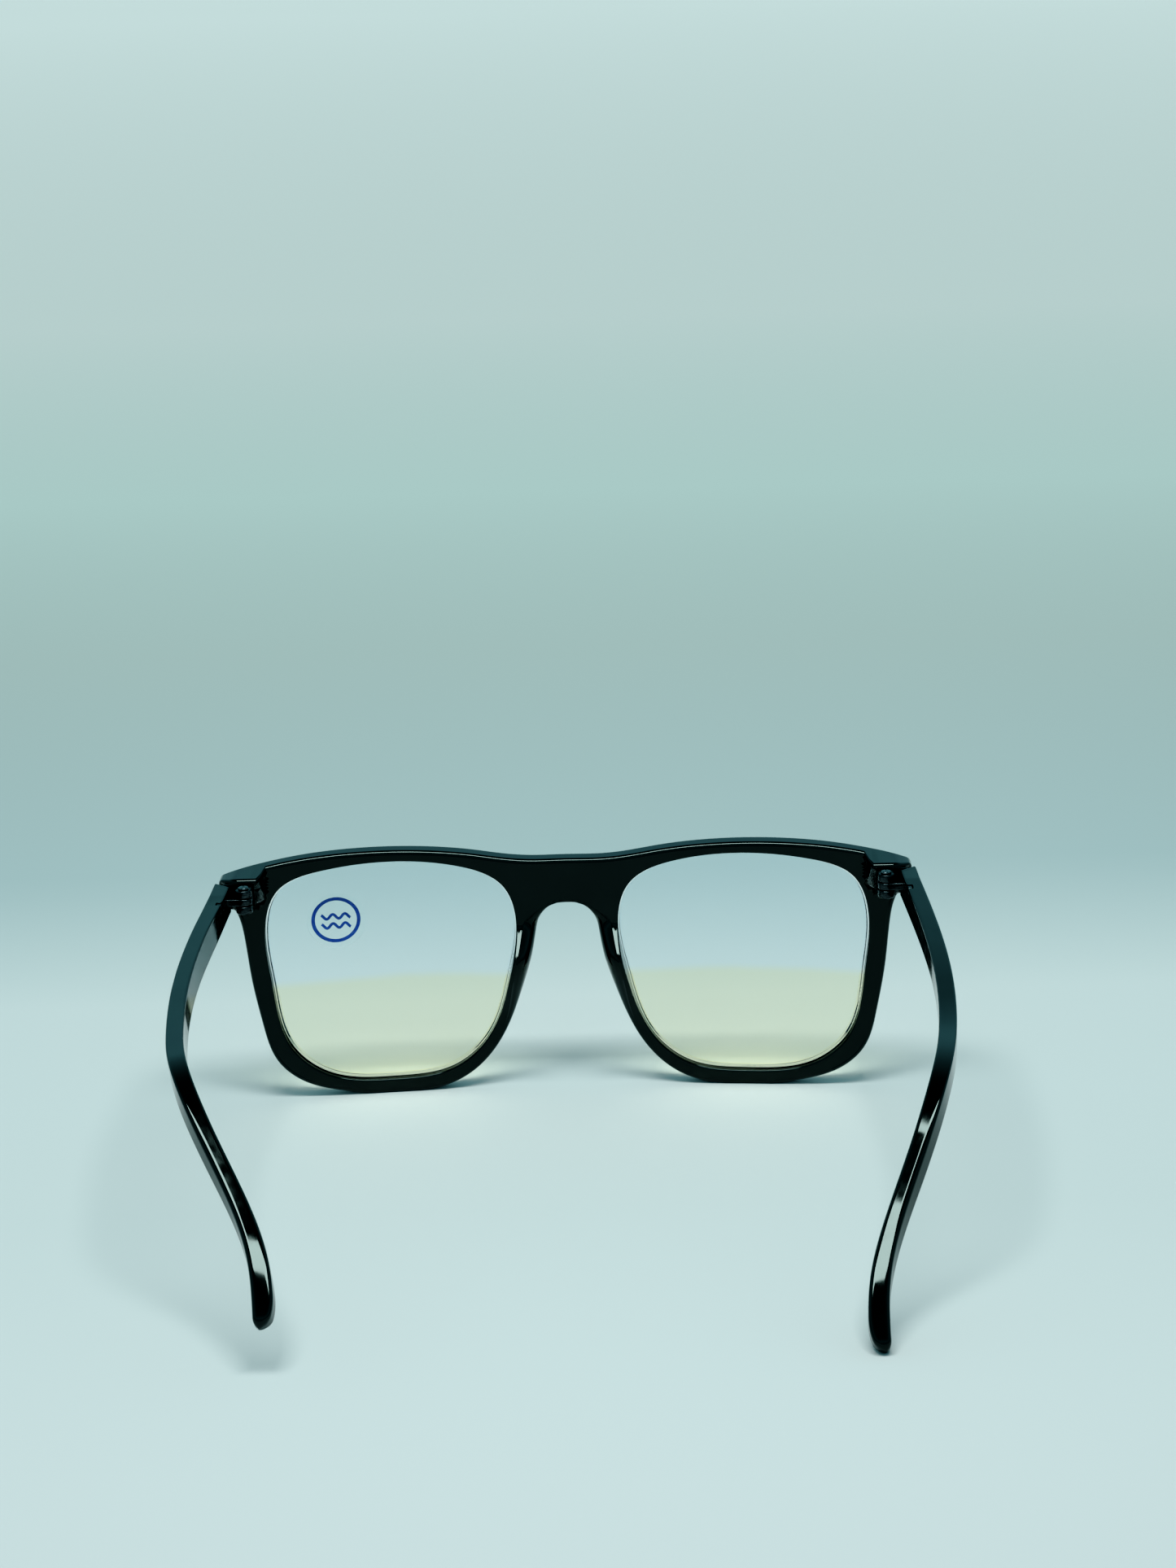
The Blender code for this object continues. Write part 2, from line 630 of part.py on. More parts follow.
def temple_rings(side_sign, count):
    """Cross-sections from the hinge end to the rounded tip."""
    path = spaced(spline(TEMPLE), count)
    path[:, 0] *= side_sign
    along = np.gradient(path[:, :3], axis=0)
    along /= np.linalg.norm(along, axis=1)[:, None]
    length = np.linalg.norm(np.diff(path[:, :3], axis=0), axis=1).sum()
    radius = path[-1, 3] / 2
    rows = []
    for i, (point, t) in enumerate(zip(path, along)):
        side = np.array([t[1], -t[0], 0.0])
        side /= np.linalg.norm(side)
        up = np.cross(side, t)
        if i == 0:
            side, up = np.array([1.0, 0, 0]), np.array([0, 0, 1.0])
        half_high = point[3] / 2
        centre = point[:3] - up * half_high
        half_thick = half_thickness(i / count)
        loss = half_thick * tip_loss((1 - i / count) * length + radius)
        rows.append(ring(centre + side * side_sign * loss, side, up, half_thick - loss, half_high,
                         TEMPLE_CORNER))
    outwards = side_sign * (rows[0][:, 0] - path[0, 0])
    rows[0][:, 1] -= TEMPLE_MITRE * (outwards / TEMPLE_THICKNESS + 0.5)
    for a in np.radians(TIP_ANGLES):
        far = centre + t * radius * math.sin(a)
        shrink = math.cos(a)
        loss = half_thick * tip_loss(radius * (1 - math.sin(a)))
        thick = (half_thick - loss) * (1 - TIP_FLATTENING * (1 - shrink))
        rows.append(ring(far + side * side_sign * loss, side, up, thick, half_high * shrink,
                         TEMPLE_CORNER * shrink))
    if side_sign > 0:
        rows = [left_set(row) for row in rows]
    return rows


def left_set(points):
    """The left temple's own lift, spread and lean, which grow over a short stretch behind the hinge."""
    share = float(smooth((points[:, 1].mean() - TEMPLE_FRONT) / SET_STRETCH))
    pivot = np.array([TEMPLE[0][0], HINGE_Y, HINGE_MIDDLE])
    turn = (Matrix.Rotation(math.radians(-LEFT_SPREAD) * share, 3, "Z")
            @ Matrix.Rotation(math.radians(LEFT_LIFT) * share, 3, "X")
            @ Matrix.Rotation(math.radians(LEFT_LEAN) * share, 3, "Y"))
    return (points - pivot) @ np.array(turn).T + pivot


def temple(name, side, mat):
    """Side arm: nearly straight shaft, bend over the ear and rounded tip resting on the ground."""
    rows = temple_rings(side, TEMPLE_RINGS)
    bm = bmesh.new()
    add_patch(bm, rows, closed=True)
    for row in (rows[0], rows[-1]):
        bm.faces.new([bm.verts.new(tuple(p * MM)) for p in row])
    obj = make_object(name, bm, mat)
    cut_boxes(obj, [grown(*temple_arm_box()), grown(*temple_anchor_box())], side, mat)
    move_origin(obj, (side * HINGE_X, HINGE_Y, 0.0))
    return obj


def lens(name, side, mat):
    """Curved lens whose edge sits in the groove of its rim."""
    angle = np.linspace(0, 2 * math.pi, LENS_SIDES, endpoint=False)
    edge = opening_radius(angle) + LENS_GRIP
    bm = bmesh.new()
    rims = []
    for face in (-1, 1):
        rows = []
        for share in np.linspace(1.0, 0.0, LENS_RINGS + 1)[:-1]:
            flat = polar(angle, edge * share)
            rows.append(place(flat, lens_middle(flat[:, 0], flat[:, 1]) + face * LENS_THICKNESS / 2))
        add_patch(bm, [r * np.array([side, 1, 1]) for r in rows], closed=True)
        rims.append(rows[0])
        last = rows[-1] * np.array([side, 1, 1])
        centre = np.array([[LENS_CENTRE[0], 0.0, LENS_CENTRE[1]]])
        centre[0, 1] = lens_middle(LENS_CENTRE[0], LENS_CENTRE[1]) + face * LENS_THICKNESS / 2
        hub = bm.verts.new(tuple(centre[0] * np.array([side, 1, 1]) * MM))
        outer = [bm.verts.new(tuple(p * MM)) for p in last]
        for j, v in enumerate(outer):
            bm.faces.new((v, outer[(j + 1) % len(outer)], hub))
    add_patch(bm, [r * np.array([side, 1, 1]) for r in rims], closed=True)
    return make_object(name, bm, mat)


def lens_label(mat):
    """Round film label on the outside of the left lens."""
    angle = np.linspace(0, 2 * math.pi, LABEL_SIDES, endpoint=False)
    bm = bmesh.new()
    rims = []
    for level in (LABEL_GAP, LABEL_GAP + LABEL_THICKNESS):
        flat = np.stack([LABEL_CENTRE[0] + LABEL_RADIUS * np.cos(angle),
                         LABEL_CENTRE[1] + LABEL_RADIUS * np.sin(angle)], -1)
        rim = place(flat, lens_middle(flat[:, 0], flat[:, 1]) - LENS_THICKNESS / 2 - level)
        middle = lens_middle(*LABEL_CENTRE) - LENS_THICKNESS / 2 - level
        hub = bm.verts.new((LABEL_CENTRE[0] * MM, middle * MM, LABEL_CENTRE[1] * MM))
        verts = [bm.verts.new(tuple(p * MM)) for p in rim]
        for j, v in enumerate(verts):
            bm.faces.new((v, verts[(j + 1) % len(verts)], hub))
        rims.append(rim)
    add_patch(bm, rims, closed=True)
    return make_object("lens_label", bm, mat)


def main():
    for obj in list(bpy.data.objects):
        bpy.data.objects.remove(obj, do_unlink=True)
    black = material("gloss_black_plastic", (0.004, 0.005, 0.006), 0.12)
    metal = material("black_hinge_metal", (0.03, 0.032, 0.035), 0.3, 1.0)
    steel = material("screw_steel", (0.25, 0.26, 0.27), 0.25, 1.0)
    clear = material("filter_lens", (0.93, 0.96, 0.85), 0.03, 0.0, 0.9)
    film = material("clear_film", (0.85, 0.92, 0.96), 0.1, 0.0, 0.8)
    front_frame(black)
    for side, word in ((1, "left"), (-1, "right")):
        lens(word + "_lens", side, clear)
        temple(word + "_temple", side, black)
        front_hinge(word + "_front_hinge", side, metal)
        temple_hinge(word + "_temple_hinge", side, metal)
        hinge_screw(word + "_hinge_screw", side, steel)
    lens_label(film)
    for obj in bpy.data.objects:
        obj.location.y -= MIDDLE * MM


main()
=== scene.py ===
"""Looks of the full-rim blue-light glasses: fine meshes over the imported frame, materials, light and camera.

Shapes are given in millimetres, measured like the CAD source: x to the wearer's left, y back from the
bridge, z up from the ground.  to_scene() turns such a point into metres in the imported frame.
"""
import json
import math

import bmesh
import bpy
import numpy as np
from mathutils import Matrix, Vector

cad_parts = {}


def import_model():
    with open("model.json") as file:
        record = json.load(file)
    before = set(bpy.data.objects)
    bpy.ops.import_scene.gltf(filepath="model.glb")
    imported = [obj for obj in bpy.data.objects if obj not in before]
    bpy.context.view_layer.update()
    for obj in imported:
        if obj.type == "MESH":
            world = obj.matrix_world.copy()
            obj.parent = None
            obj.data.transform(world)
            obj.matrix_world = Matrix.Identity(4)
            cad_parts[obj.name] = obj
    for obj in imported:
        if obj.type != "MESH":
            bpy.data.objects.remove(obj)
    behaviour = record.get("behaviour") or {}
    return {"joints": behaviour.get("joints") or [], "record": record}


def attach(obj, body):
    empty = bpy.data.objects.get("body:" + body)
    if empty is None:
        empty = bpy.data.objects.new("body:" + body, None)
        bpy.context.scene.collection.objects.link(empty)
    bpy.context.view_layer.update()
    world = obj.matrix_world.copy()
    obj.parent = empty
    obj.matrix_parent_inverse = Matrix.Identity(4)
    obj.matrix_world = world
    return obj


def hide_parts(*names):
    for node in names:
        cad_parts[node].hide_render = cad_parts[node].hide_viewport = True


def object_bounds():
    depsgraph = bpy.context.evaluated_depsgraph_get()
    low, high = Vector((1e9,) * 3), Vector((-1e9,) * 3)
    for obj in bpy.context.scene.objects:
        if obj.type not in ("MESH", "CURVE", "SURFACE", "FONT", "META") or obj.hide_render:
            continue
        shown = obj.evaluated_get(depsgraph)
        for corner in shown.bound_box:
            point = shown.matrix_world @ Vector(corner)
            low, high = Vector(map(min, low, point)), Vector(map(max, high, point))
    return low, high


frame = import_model()
cad_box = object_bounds()

MM = 0.001
JOINT = {joint["name"]: joint for joint in frame["joints"]}
BODY_OF = {node: body for body, nodes in frame["record"]["behaviour"]["bodies"].items() for node in nodes}

# Hinges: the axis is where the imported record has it
HINGE_AXIS = JOINT["left_temple_fold"]["pos_m"]
HINGE_X = HINGE_AXIS[0] / MM
HINGE_Y = 11.3
MIDDLE = HINGE_Y - HINGE_AXIS[1] / MM   # from the back of the bridge to the frame's origin
KNUCKLE_RADIUS = 1.68
KNUCKLE_GAP = 0.12
KNUCKLE_BEVEL = 0.28
PLATE_BEVEL = 0.22
POCKET_BEVEL = 0.1
HINGE_BOTTOM = 43.75
HINGE_TOP = 48.85
HINGE_MIDDLE = (HINGE_BOTTOM + HINGE_TOP) / 2
MIDDLE_KNUCKLE = 1.5
SCREW_RADIUS = 0.7
SCREW_HOLE = 0.8
SCREW_HEAD_RADIUS = 1.1
SCREW_HEAD_HEIGHT = 0.45
SCREW_SLOT = 0.15               # half the slot's width
SLOT_DEPTH = 0.2
SLOT_REACH = 2.0
SLOT_BEVEL = 0.03
SCREW_FOOT = 0.2                # the screw ends this far above the hinge's foot
SCREW_CHAMFER = 0.15
HEAD_GAP = 0.1                  # between the hinge's top and the screw's head
HEAD_EDGE = 0.08
HEAD_DOME = 0.22
HEAD_SHOULDER = 0.25
HEAD_TURN = 80                  # degrees of the dome that are drawn
HEAD_FLAT = 0.3
PLATE_DEPTH = 0.9
ANCHOR_DEPTH = 3.4
ANCHOR_HALF = 0.8
ANCHOR_INSET = 0.9              # above the plate's foot and below its top
ARM_FRONT = 1.2                 # the temple's hinge arm, ahead of the axis and behind it
ARM_BACK = 1.5
ARM_REACH = 4.6
INSERT_INNER = 3.9              # the plate moulded into the temple, outwards from the axis
INSERT_OUTER = 4.9
INSERT_BACK = 6.5
INSERT_HALF = 1.4
POCKET_GAP = 0.15
OVERCUT = 1.0                   # how far cutting tools reach past the surface they cut

# Front
LENS_CENTRE = (36.5, 27.0)
WRAP_RADIUS = 400.0
LEAN = math.tan(math.radians(1.0))
LEAN_HEIGHT = 24.0
RIM_DEPTH = 4.0
EDGE_ROUND = 0.5
REAR_ROUND = 0.9
OPENING_ROUND = 0.35
BRIDGE_TOP = 49.8
BRIDGE_ARCH = 40.2
FRONT_HALF_WIDTH = 71.2
TOP_CORNER = 1.2                # radius of the end piece's upper outer corner
TOP_CORNER_HEIGHT = 48.1
TOP_CORNER_START = 72.0
LOW_CORNER = 1.0
END_BOTTOM = 43.0
BLOCK_REAR = 8.8
BLOCK_INNER = 61.5
BLOCK_LOWER = 42.2
BLOCK_CORNER = 3.5
BLOCK_SLOPE = 1.8
MITRE_START = 68.3              # outwards from here the block's rear is cut back at 45 degrees
MITRE_EASE = 0.35
BLOCK_TOP = 50.0                # the block's rear edge runs level at this height
PAD_RISE = 5.4
PAD_CREST = 29.2
PAD_TOP = 35.4
PAD_EASE = 0.15                 # how much of the pad's upper slope is eased; the rest is straight
PAD_FOOT = 12.0
PAD_REACH = 25.0
PAD_SLANT = 2.0
PAD_SLANT_DEPTH = 3.4
SLANT_TOP = 39.0                # the slanted nose side starts here, above the pad
SLANT_DEPTH = 1.6               # its depth where there is no pad yet

# Lenses
LENS_RADIUS = 130.0
LENS_APEX = -2.6
LENS_THICKNESS = 1.4
LENS_GRIP = 0.65
LENS_BEVEL = 0.3
LENS_EDGE_THICKNESS = 0.7       # the lens is ground down to this where it enters the groove
GROOVE_DEPTH = 0.95
GROOVE_WIDTH = 1.2
PAINTED_REFLECTION_HEIGHT = 25.2              # below this the lens shows its own yellow tint; above it a painted reflection of the blue coating makes it look neutral
PAINTED_REFLECTION_FADE = 1.2

# Temples
TEMPLE_THICKNESS = 3.4
TEMPLE_FRONT = 9.15
TEMPLE_MITRE = 2.7              # how much further forward the outer side of the temple's front end lies
MITRE_FADE = 4.0
TIP_THICKNESS = 3.9
TIP_SWELL = (0.8, 0.2)          # where along the temple it starts to thicken, and over which share
TIP_NARROWING = 6.0             # the last stretch, where the tip's inner side curves outwards
TIP_SKEW = 0.55                 # share of its thickness that the tip loses there
TIP_LEAST = 0.2                 # thickness left where the tip's height has run out
TIP_BLUNTNESS = 0.3
TIP_TURN = 84                   # degrees of the tip's round that are drawn before it is capped
SHAFT_CORNER = 0.35
DROP_CORNER = 0.9
CORNER_GROWTH = (0.58, 0.16)    # where along the temple its corners start to grow, and over which share
CORNER_SHARE = 0.92             # a corner's radius is at most this share of half a side
CORNER_HOLD = 0.15              # share of the flat beside a corner that keeps the corner crisp
END_BEVEL = 0.25
SQUARE_START = 12               # one over the share of the temple that eases out of its square front end

# Label on the left lens, and the generic mark printed on it
LABEL_CENTRE = (48.0, 37.6)
LABEL_RADIUS = 6.2
LABEL_THICKNESS = 0.12
LABEL_GAP = 0.12
MARK_CENTRE = (48.2, 37.6)
MARK_RADIUS = 4.7
MARK_STROKE = 0.75
INK_THICKNESS = 0.03
LABEL_SHARES = (0.02, 0.4, 0.75, 0.97, 1.0)
RING_TURN = 356                 # the ring's last point; the stroke closes the remaining degrees
WAVE_PLACES = (-1.3, 0.75)      # heights of the two waves from the mark's middle
WAVE_REACH = 3.0
WAVE_HEIGHT = 0.5
WAVE_RATE = 2.5
WAVE_STROKE = 0.8               # share of the ring's stroke

BROW = [(0.0, BRIDGE_TOP), (7.2, BRIDGE_TOP), (12.5, 50.3), (19.0, 51.4), (28.0, 52.5), (38.5, 53.0),
        (48.0, 52.8), (56.0, 52.1), (63.0, 51.0)]
CHEEK = [(69.2, END_BOTTOM), (67.8, 41.3), (66.8, 37.0), (65.7, 27.0), (63.9, 16.8), (61.3, 8.6), (55.2, 3.2),
         (47.7, 0.9), (42.0, 0.0), (37.0, -0.15), (32.0, 0.0), (26.0, 1.0), (20.2, 4.1), (14.1, 11.4),
         (9.6, 22.6), (6.9, 32.2), (5.9, 36.5), (4.4, 38.9), (2.4, 40.0), (0.0, BRIDGE_ARCH)]
OPENING = [(36.5, 50.6), (50.5, 49.4), (59.3, 45.9), (62.4, 37.0), (61.5, 25.5), (58.2, 11.5), (50.8, 5.0),
           (37.0, 3.1), (24.7, 4.9), (16.8, 11.9), (12.3, 25.0), (10.6, 35.0), (13.0, 44.1), (23.0, 49.1)]

# Centre line of the left temple's top edge, and the temple's height there: (across, back, up, height)
TEMPLE = [(70.2, TEMPLE_FRONT, 48.75, 5.6), (72.6, 35.0, 45.4, 5.4), (73.4, 56.0, 42.4, 5.0),
          (72.3, 76.0, 39.6, 4.8), (68.3, 97.0, 35.9, 4.7), (63.3, 107.5, 26.7, 4.5),
          (58.4, 117.0, 17.2, 4.3), (56.0, 125.0, 10.6, 4.1), (55.6, 132.35, 3.2, 3.8)]

# The left temple is set a little differently from the right one: degrees upwards, outwards and leaning in,
# reached over a short stretch behind the hinge
LEFT_LIFT = 2.9
LEFT_SPREAD = 0.45
LEFT_LEAN = 6.9
SET_STRETCH = 22.0

# Camera, in millimetres and degrees
CAMERA_PLACE = (-18.0, 688.6, 270.0)
CAMERA_DROP = 16.5
CAMERA_TURN = 1.06
CAMERA_ROLL = -1.77
CAMERA_LENS = 80.3
SENSOR_WIDTH = 36.0

# Surroundings, in metres and watts
FLOOR_SIZE = 12.0
FLOOR_PAINTED_POOL = (0.2, -0.6)        # painted light: the floor's colour brightens into a pool under the panel and drops at its soft edge along this stretch
FLOOR_PAINTED_GLOW = (-0.2, -3.2)        # its painted glow, standing in for a lit backdrop, grows along this one
PANEL_SIZE = (0.46, 0.155)
PANEL_PLACE = (0.0, 0.148, 0.6)
PANEL_POWER = 3.1
PANEL_COLOUR = (0.86, 1.0, 0.985)

# Fineness of the meshes
OUTLINE_STEP = 0.9
ARC_STEPS = 5
FACE_ROWS = 12
SEAM_STEPS = 10
TEMPLE_RINGS = 240
LENS_SIDES = 200
LENS_RINGS = 16
ROUND_SIDES = 48
KNUCKLE_STEPS = 20
BEVEL_STEPS = 3
TIP_RINGS = 12
HEAD_RINGS = 6
LABEL_SIDES = 96
RING_STEPS = 89
WAVE_STEPS = 60

# Parts of the outline where the loop doubles back: under the bridge, and under the end block
ARCH_ZONE = (10.0, 32.0)        # inwards of and above
END_ZONE = (66.0, 38.0, 47.0)   # outwards of, above and below


# ---------------------------------------------------------------------------------------------- curves

def spline(knots, closed=False, tangents=None, density=60):
    """Many points on the cubic spline through the knots."""
    p = np.array(knots, float)
    if closed:
        p = np.vstack([p, p[:1]])
    h = np.linalg.norm(np.diff(p[:, :3], axis=0), axis=1)
    n = len(p)
    a = np.zeros((n, n))
    r = np.zeros_like(p)
    slope = np.diff(p, axis=0) / h[:, None]
    for i in range(1, n - 1):
        a[i, i - 1:i + 2] = h[i - 1], 2 * (h[i - 1] + h[i]), h[i]
        r[i] = 6 * (slope[i] - slope[i - 1])
    if closed:
        a[0, 0], a[0, 1], a[0, n - 2] = 2 * (h[0] + h[-1]), h[0], h[-1]
        r[0] = 6 * (slope[0] - slope[-1])
        a[-1, 0], a[-1, -1] = 1, -1
    elif tangents:
        a[0, 0], a[0, 1] = 2 * h[0], h[0]
        r[0] = 6 * (slope[0] - tangents[0])
        a[-1, -1], a[-1, -2] = 2 * h[-1], h[-1]
        r[-1] = 6 * (tangents[1] - slope[-1])
    else:
        a[0, 0] = a[-1, -1] = 1
    m = np.linalg.solve(a, r)
    out = []
    for i in range(n - 1):
        t = np.linspace(0, 1, density, endpoint=False)[:, None]
        u = 1 - t
        bend = ((u ** 3 - u) * m[i] + (t ** 3 - t) * m[i + 1]) * h[i] ** 2 / 6
        out.append(u * p[i] + t * p[i + 1] + bend)
    out.append(p[-1:])
    return np.vstack(out)


def spaced(points, count):
    """The polyline resampled to count + 1 evenly spaced points."""
    s = np.concatenate([[0], np.cumsum(np.linalg.norm(np.diff(points[:, :3], axis=0), axis=1))])
    at = np.linspace(0, s[-1], count + 1)
    return np.stack([np.interp(at, s, points[:, k]) for k in range(points.shape[1])], -1)


def steps_for(points, step):
    length = np.linalg.norm(np.diff(points, axis=0), axis=1).sum()
    return max(2, round(length / step))


def arc(centre, radius, start, end, steps):
    """Points on an arc, angles in degrees."""
    a = np.radians(np.linspace(start, end, steps + 1))
    return np.stack([centre[0] + radius * np.cos(a), centre[1] + radius * np.sin(a)], -1)


def eased(count):
    """Shares from 0 to 1 that lie close together at both ends."""
    return 0.5 - 0.5 * np.cos(np.linspace(0, math.pi, count + 1))


def outer_outline():
    """Outer edge of the left half of the front, from the top of the bridge round to its arch."""
    top_corner = arc((FRONT_HALF_WIDTH - TOP_CORNER, TOP_CORNER_HEIGHT), TOP_CORNER, TOP_CORNER_START, 0,
                     ARC_STEPS)
    low_corner = arc((FRONT_HALF_WIDTH - LOW_CORNER, END_BOTTOM + LOW_CORNER), LOW_CORNER, 0, -90, ARC_STEPS)
    into_corner = np.array([1.0, -1.0 / math.tan(math.radians(TOP_CORNER_START))])
    brow = spline(BROW + [tuple(top_corner[0])], tangents=(np.array([1.0, 0.0]), into_corner))
    cheek = spline(CHEEK, tangents=(np.array([-1.0, -0.1]), np.array([-1.0, 0.0])))
    cheek[:, 1] = np.maximum(cheek[:, 1], 0.0)
    side = np.array([top_corner[-1], low_corner[0]])
    parts = [spaced(brow, steps_for(brow, OUTLINE_STEP)), top_corner,
             spaced(side, steps_for(side, OUTLINE_STEP)), low_corner,
             spaced(cheek, steps_for(cheek, OUTLINE_STEP))]
    joined = [parts[0]]
    for part in parts[1:]:
        skip = 1 if np.linalg.norm(part[0] - joined[-1][-1]) < 1e-6 else 0
        joined.append(part[skip:])
    return np.vstack(joined)


def opening_radius(angle):
    """Distance from the lens centre to the opening's edge."""
    d = spline(OPENING, closed=True)[:-1] - np.array(LENS_CENTRE)
    a = np.arctan2(d[:, 1], d[:, 0])
    order = np.argsort(a)
    return np.interp(angle, a[order], np.hypot(d[order, 0], d[order, 1]), period=2 * math.pi)


def polar(angle, radius):
    return np.stack([LENS_CENTRE[0] + radius * np.cos(angle), LENS_CENTRE[1] + radius * np.sin(angle)], -1)


def normals(points, closed):
    """Unit normals on the right-hand side of a path."""
    if closed:
        d = np.roll(points, -1, axis=0) - np.roll(points, 1, axis=0)
    else:
        d = np.gradient(points, axis=0)
        d[0] = (1, 0)
        d[-1] = (-1, 0)
    d /= np.linalg.norm(d, axis=1)[:, None]
    return np.stack([d[:, 1], -d[:, 0]], -1)


# ------------------------------------------------------------------------------------ shape of the front

def smooth(t):
    t = np.clip(t, 0.0, 1.0)
    return t * t * (3 - 2 * t)


def rear_base(x, z):
    return x * x / (2 * WRAP_RADIUS) - (z - LEAN_HEIGHT) * LEAN


def front_face(x, z):
    return rear_base(x, z) - RIM_DEPTH


def block_share(x, z):
    """1 on the hinge block, 0 on the rim, with a soft step between."""
    dx = x - BLOCK_INNER
    dz = z - BLOCK_LOWER
    corner = BLOCK_CORNER - np.hypot(BLOCK_CORNER - dx, BLOCK_CORNER - dz)
    inside = np.where((dx < BLOCK_CORNER) & (dz < BLOCK_CORNER), corner, np.minimum(dx, dz))
    return smooth(inside / BLOCK_SLOPE)


def block_drop(x, z):
    """How far the rear edge of the end block lies below the brow."""
    return np.maximum(z - BLOCK_TOP, 0.0) * smooth((x - BLOCK_INNER) / BLOCK_SLOPE)


def pad_share(x, z):
    """1 at the crest of a nose pad, fading to 0 above and below it."""
    down = np.clip((PAD_TOP - z) / (PAD_TOP - PAD_CREST), 0.0, 1.0)
    above = PAD_EASE * smooth(down) + (1 - PAD_EASE) * down
    below = smooth((z - PAD_FOOT) / (PAD_CREST - PAD_FOOT))
    return np.where(x < PAD_REACH, above * below, 0.0)


def slant_share(x, z):
    """1 along a nose pad and its upper slope, fading out towards the bridge and the pad's foot."""
    above = smooth((SLANT_TOP - z) / (SLANT_TOP - PAD_TOP))
    below = smooth((z - PAD_FOOT) / (PAD_CREST - PAD_FOOT))
    return np.where(x < PAD_REACH, above * below, 0.0)


def rear_face(x, z):
    base = rear_base(x, z) + PAD_RISE * pad_share(x, z)
    share = block_share(x, z)
    past = x - MITRE_START
    block = BLOCK_REAR - (past + np.hypot(past, MITRE_EASE)) / 2
    return base * (1 - share) + block * share


def lens_middle(x, z):
    """Middle surface of the left lens, front to back."""
    dx = x - LENS_CENTRE[0]
    dz = z - LENS_CENTRE[1]
    wrap = dx * LENS_CENTRE[0] / WRAP_RADIUS
    return LENS_APEX + wrap + (dx * dx + dz * dz) / (2 * LENS_RADIUS) - (z - LEAN_HEIGHT) * LEAN


def place(flat, depth):
    return np.stack([flat[:, 0], depth, flat[:, 1]], -1)


def edge_rows(outline, inward):
    """Rounded outer edge: rows from the front face, over the wall, to the rear face."""
    x, z = outline[:, 0], outline[:, 1]
    pad = pad_share(x, z)
    drop = block_drop(x, z)
    slant = slant_share(x, z)
    across = REAR_ROUND + PAD_SLANT * slant
    deep = REAR_ROUND + PAD_SLANT_DEPTH * pad + SLANT_DEPTH * (slant - pad)
    front_start = front_face(x, z) + EDGE_ROUND
    rear_start = rear_face(x, z) - deep
    rows = []
    for a in np.radians(np.linspace(0, 90, ARC_STEPS + 1)):
        flat = outline + inward * (EDGE_ROUND * (1 - math.sin(a)))
        rows.append(place(flat, front_face(x, z) + EDGE_ROUND * (1 - math.cos(a))))
    for share in (0.06, 0.94):
        flat = outline + inward * (drop * share)[:, None]
        rows.append(place(flat, front_start * (1 - share) + rear_start * share))
    for a in np.radians(np.linspace(90, 0, 2 * ARC_STEPS + 1)):
        flat = outline + inward * (drop + across * (1 - math.sin(a)))[:, None]
        rows.append(place(flat, rear_face(x, z) - deep * (1 - math.cos(a))))
    inset_front = outline + inward * EDGE_ROUND
    inset_rear = outline + inward * (drop + across)[:, None]
    rows[0][:, 1] = front_face(inset_front[:, 0], inset_front[:, 1])
    rows[-1][:, 1] = rear_face(inset_rear[:, 0], inset_rear[:, 1])
    return rows, inset_front, inset_rear


def opening_rows(edge, outward):
    """Rounded lips and lens groove of the opening: rows from the rear face to the front face."""
    x, z = edge[:, 0], edge[:, 1]
    middle = lens_middle(x, z)
    rows = []
    for a in np.radians(np.linspace(0, 90, ARC_STEPS + 1)):
        rows.append(place(edge + outward * (OPENING_ROUND * (1 - math.sin(a))),
                          rear_face(x, z) - OPENING_ROUND * (1 - math.cos(a))))
    for reach, side in ((0, 1), (GROOVE_DEPTH, 1), (GROOVE_DEPTH, -1), (0, -1)):
        rows.append(place(edge + outward * reach, middle + side * GROOVE_WIDTH / 2))
    for a in np.radians(np.linspace(90, 0, ARC_STEPS + 1)):
        rows.append(place(edge + outward * (OPENING_ROUND * (1 - math.sin(a))),
                          front_face(x, z) + OPENING_ROUND * (1 - math.cos(a))))
    lip = edge + outward * OPENING_ROUND
    rows[0][:, 1] = rear_face(lip[:, 0], lip[:, 1])
    rows[-1][:, 1] = front_face(lip[:, 0], lip[:, 1])
    return rows, lip


def lens_angles(loop):
    """For each point of the outer loop, the angle on the opening that it is joined to.

    Under the bridge and under the end block, where the loop doubles back, the angles are spread evenly.
    """
    d = loop - np.array(LENS_CENTRE)
    a = np.unwrap(np.arctan2(d[:, 1], d[:, 0]))
    bridge = (loop[:, 0] < ARCH_ZONE[0]) & (loop[:, 1] > ARCH_ZONE[1])
    end = (loop[:, 0] > END_ZONE[0]) & (loop[:, 1] > END_ZONE[1]) & (loop[:, 1] < END_ZONE[2])
    spread = bridge | end
    shift = int(np.argmin(spread))
    spread = np.roll(spread, -shift)
    a = np.unwrap(np.roll(a, -shift))
    index = np.arange(len(a))
    turn = np.append(a, a[0] + np.sign(a[-1] - a[0]) * 2 * math.pi)
    keep = np.append(~spread, True)
    full = np.interp(index, np.append(index, len(a))[keep], turn[keep])
    return np.roll(full, shift)


# ------------------------------------------------------------------------------------------ mesh helpers

def to_scene(p):
    """A point in the source's millimetres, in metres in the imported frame."""
    return (p[0] * MM, (p[1] - MIDDLE) * MM, p[2] * MM)


def add_row(bm, row):
    return [bm.verts.new(to_scene(p)) for p in row]


def add_patch(bm, rows, closed):
    """Quads between successive rows of points; returns the first and last row's corners."""
    verts = [add_row(bm, row) for row in rows]
    for low, high in zip(verts, verts[1:]):
        count = len(low)
        for j in range(count if closed else count - 1):
            k = (j + 1) % count
            bm.faces.new((low[j], low[k], high[k], high[j]))
    return verts[0], verts[-1]


def add_capped(bm, rows):
    """A closed solid through rings of points."""
    for cap in add_patch(bm, rows, closed=True):
        bm.faces.new(cap)


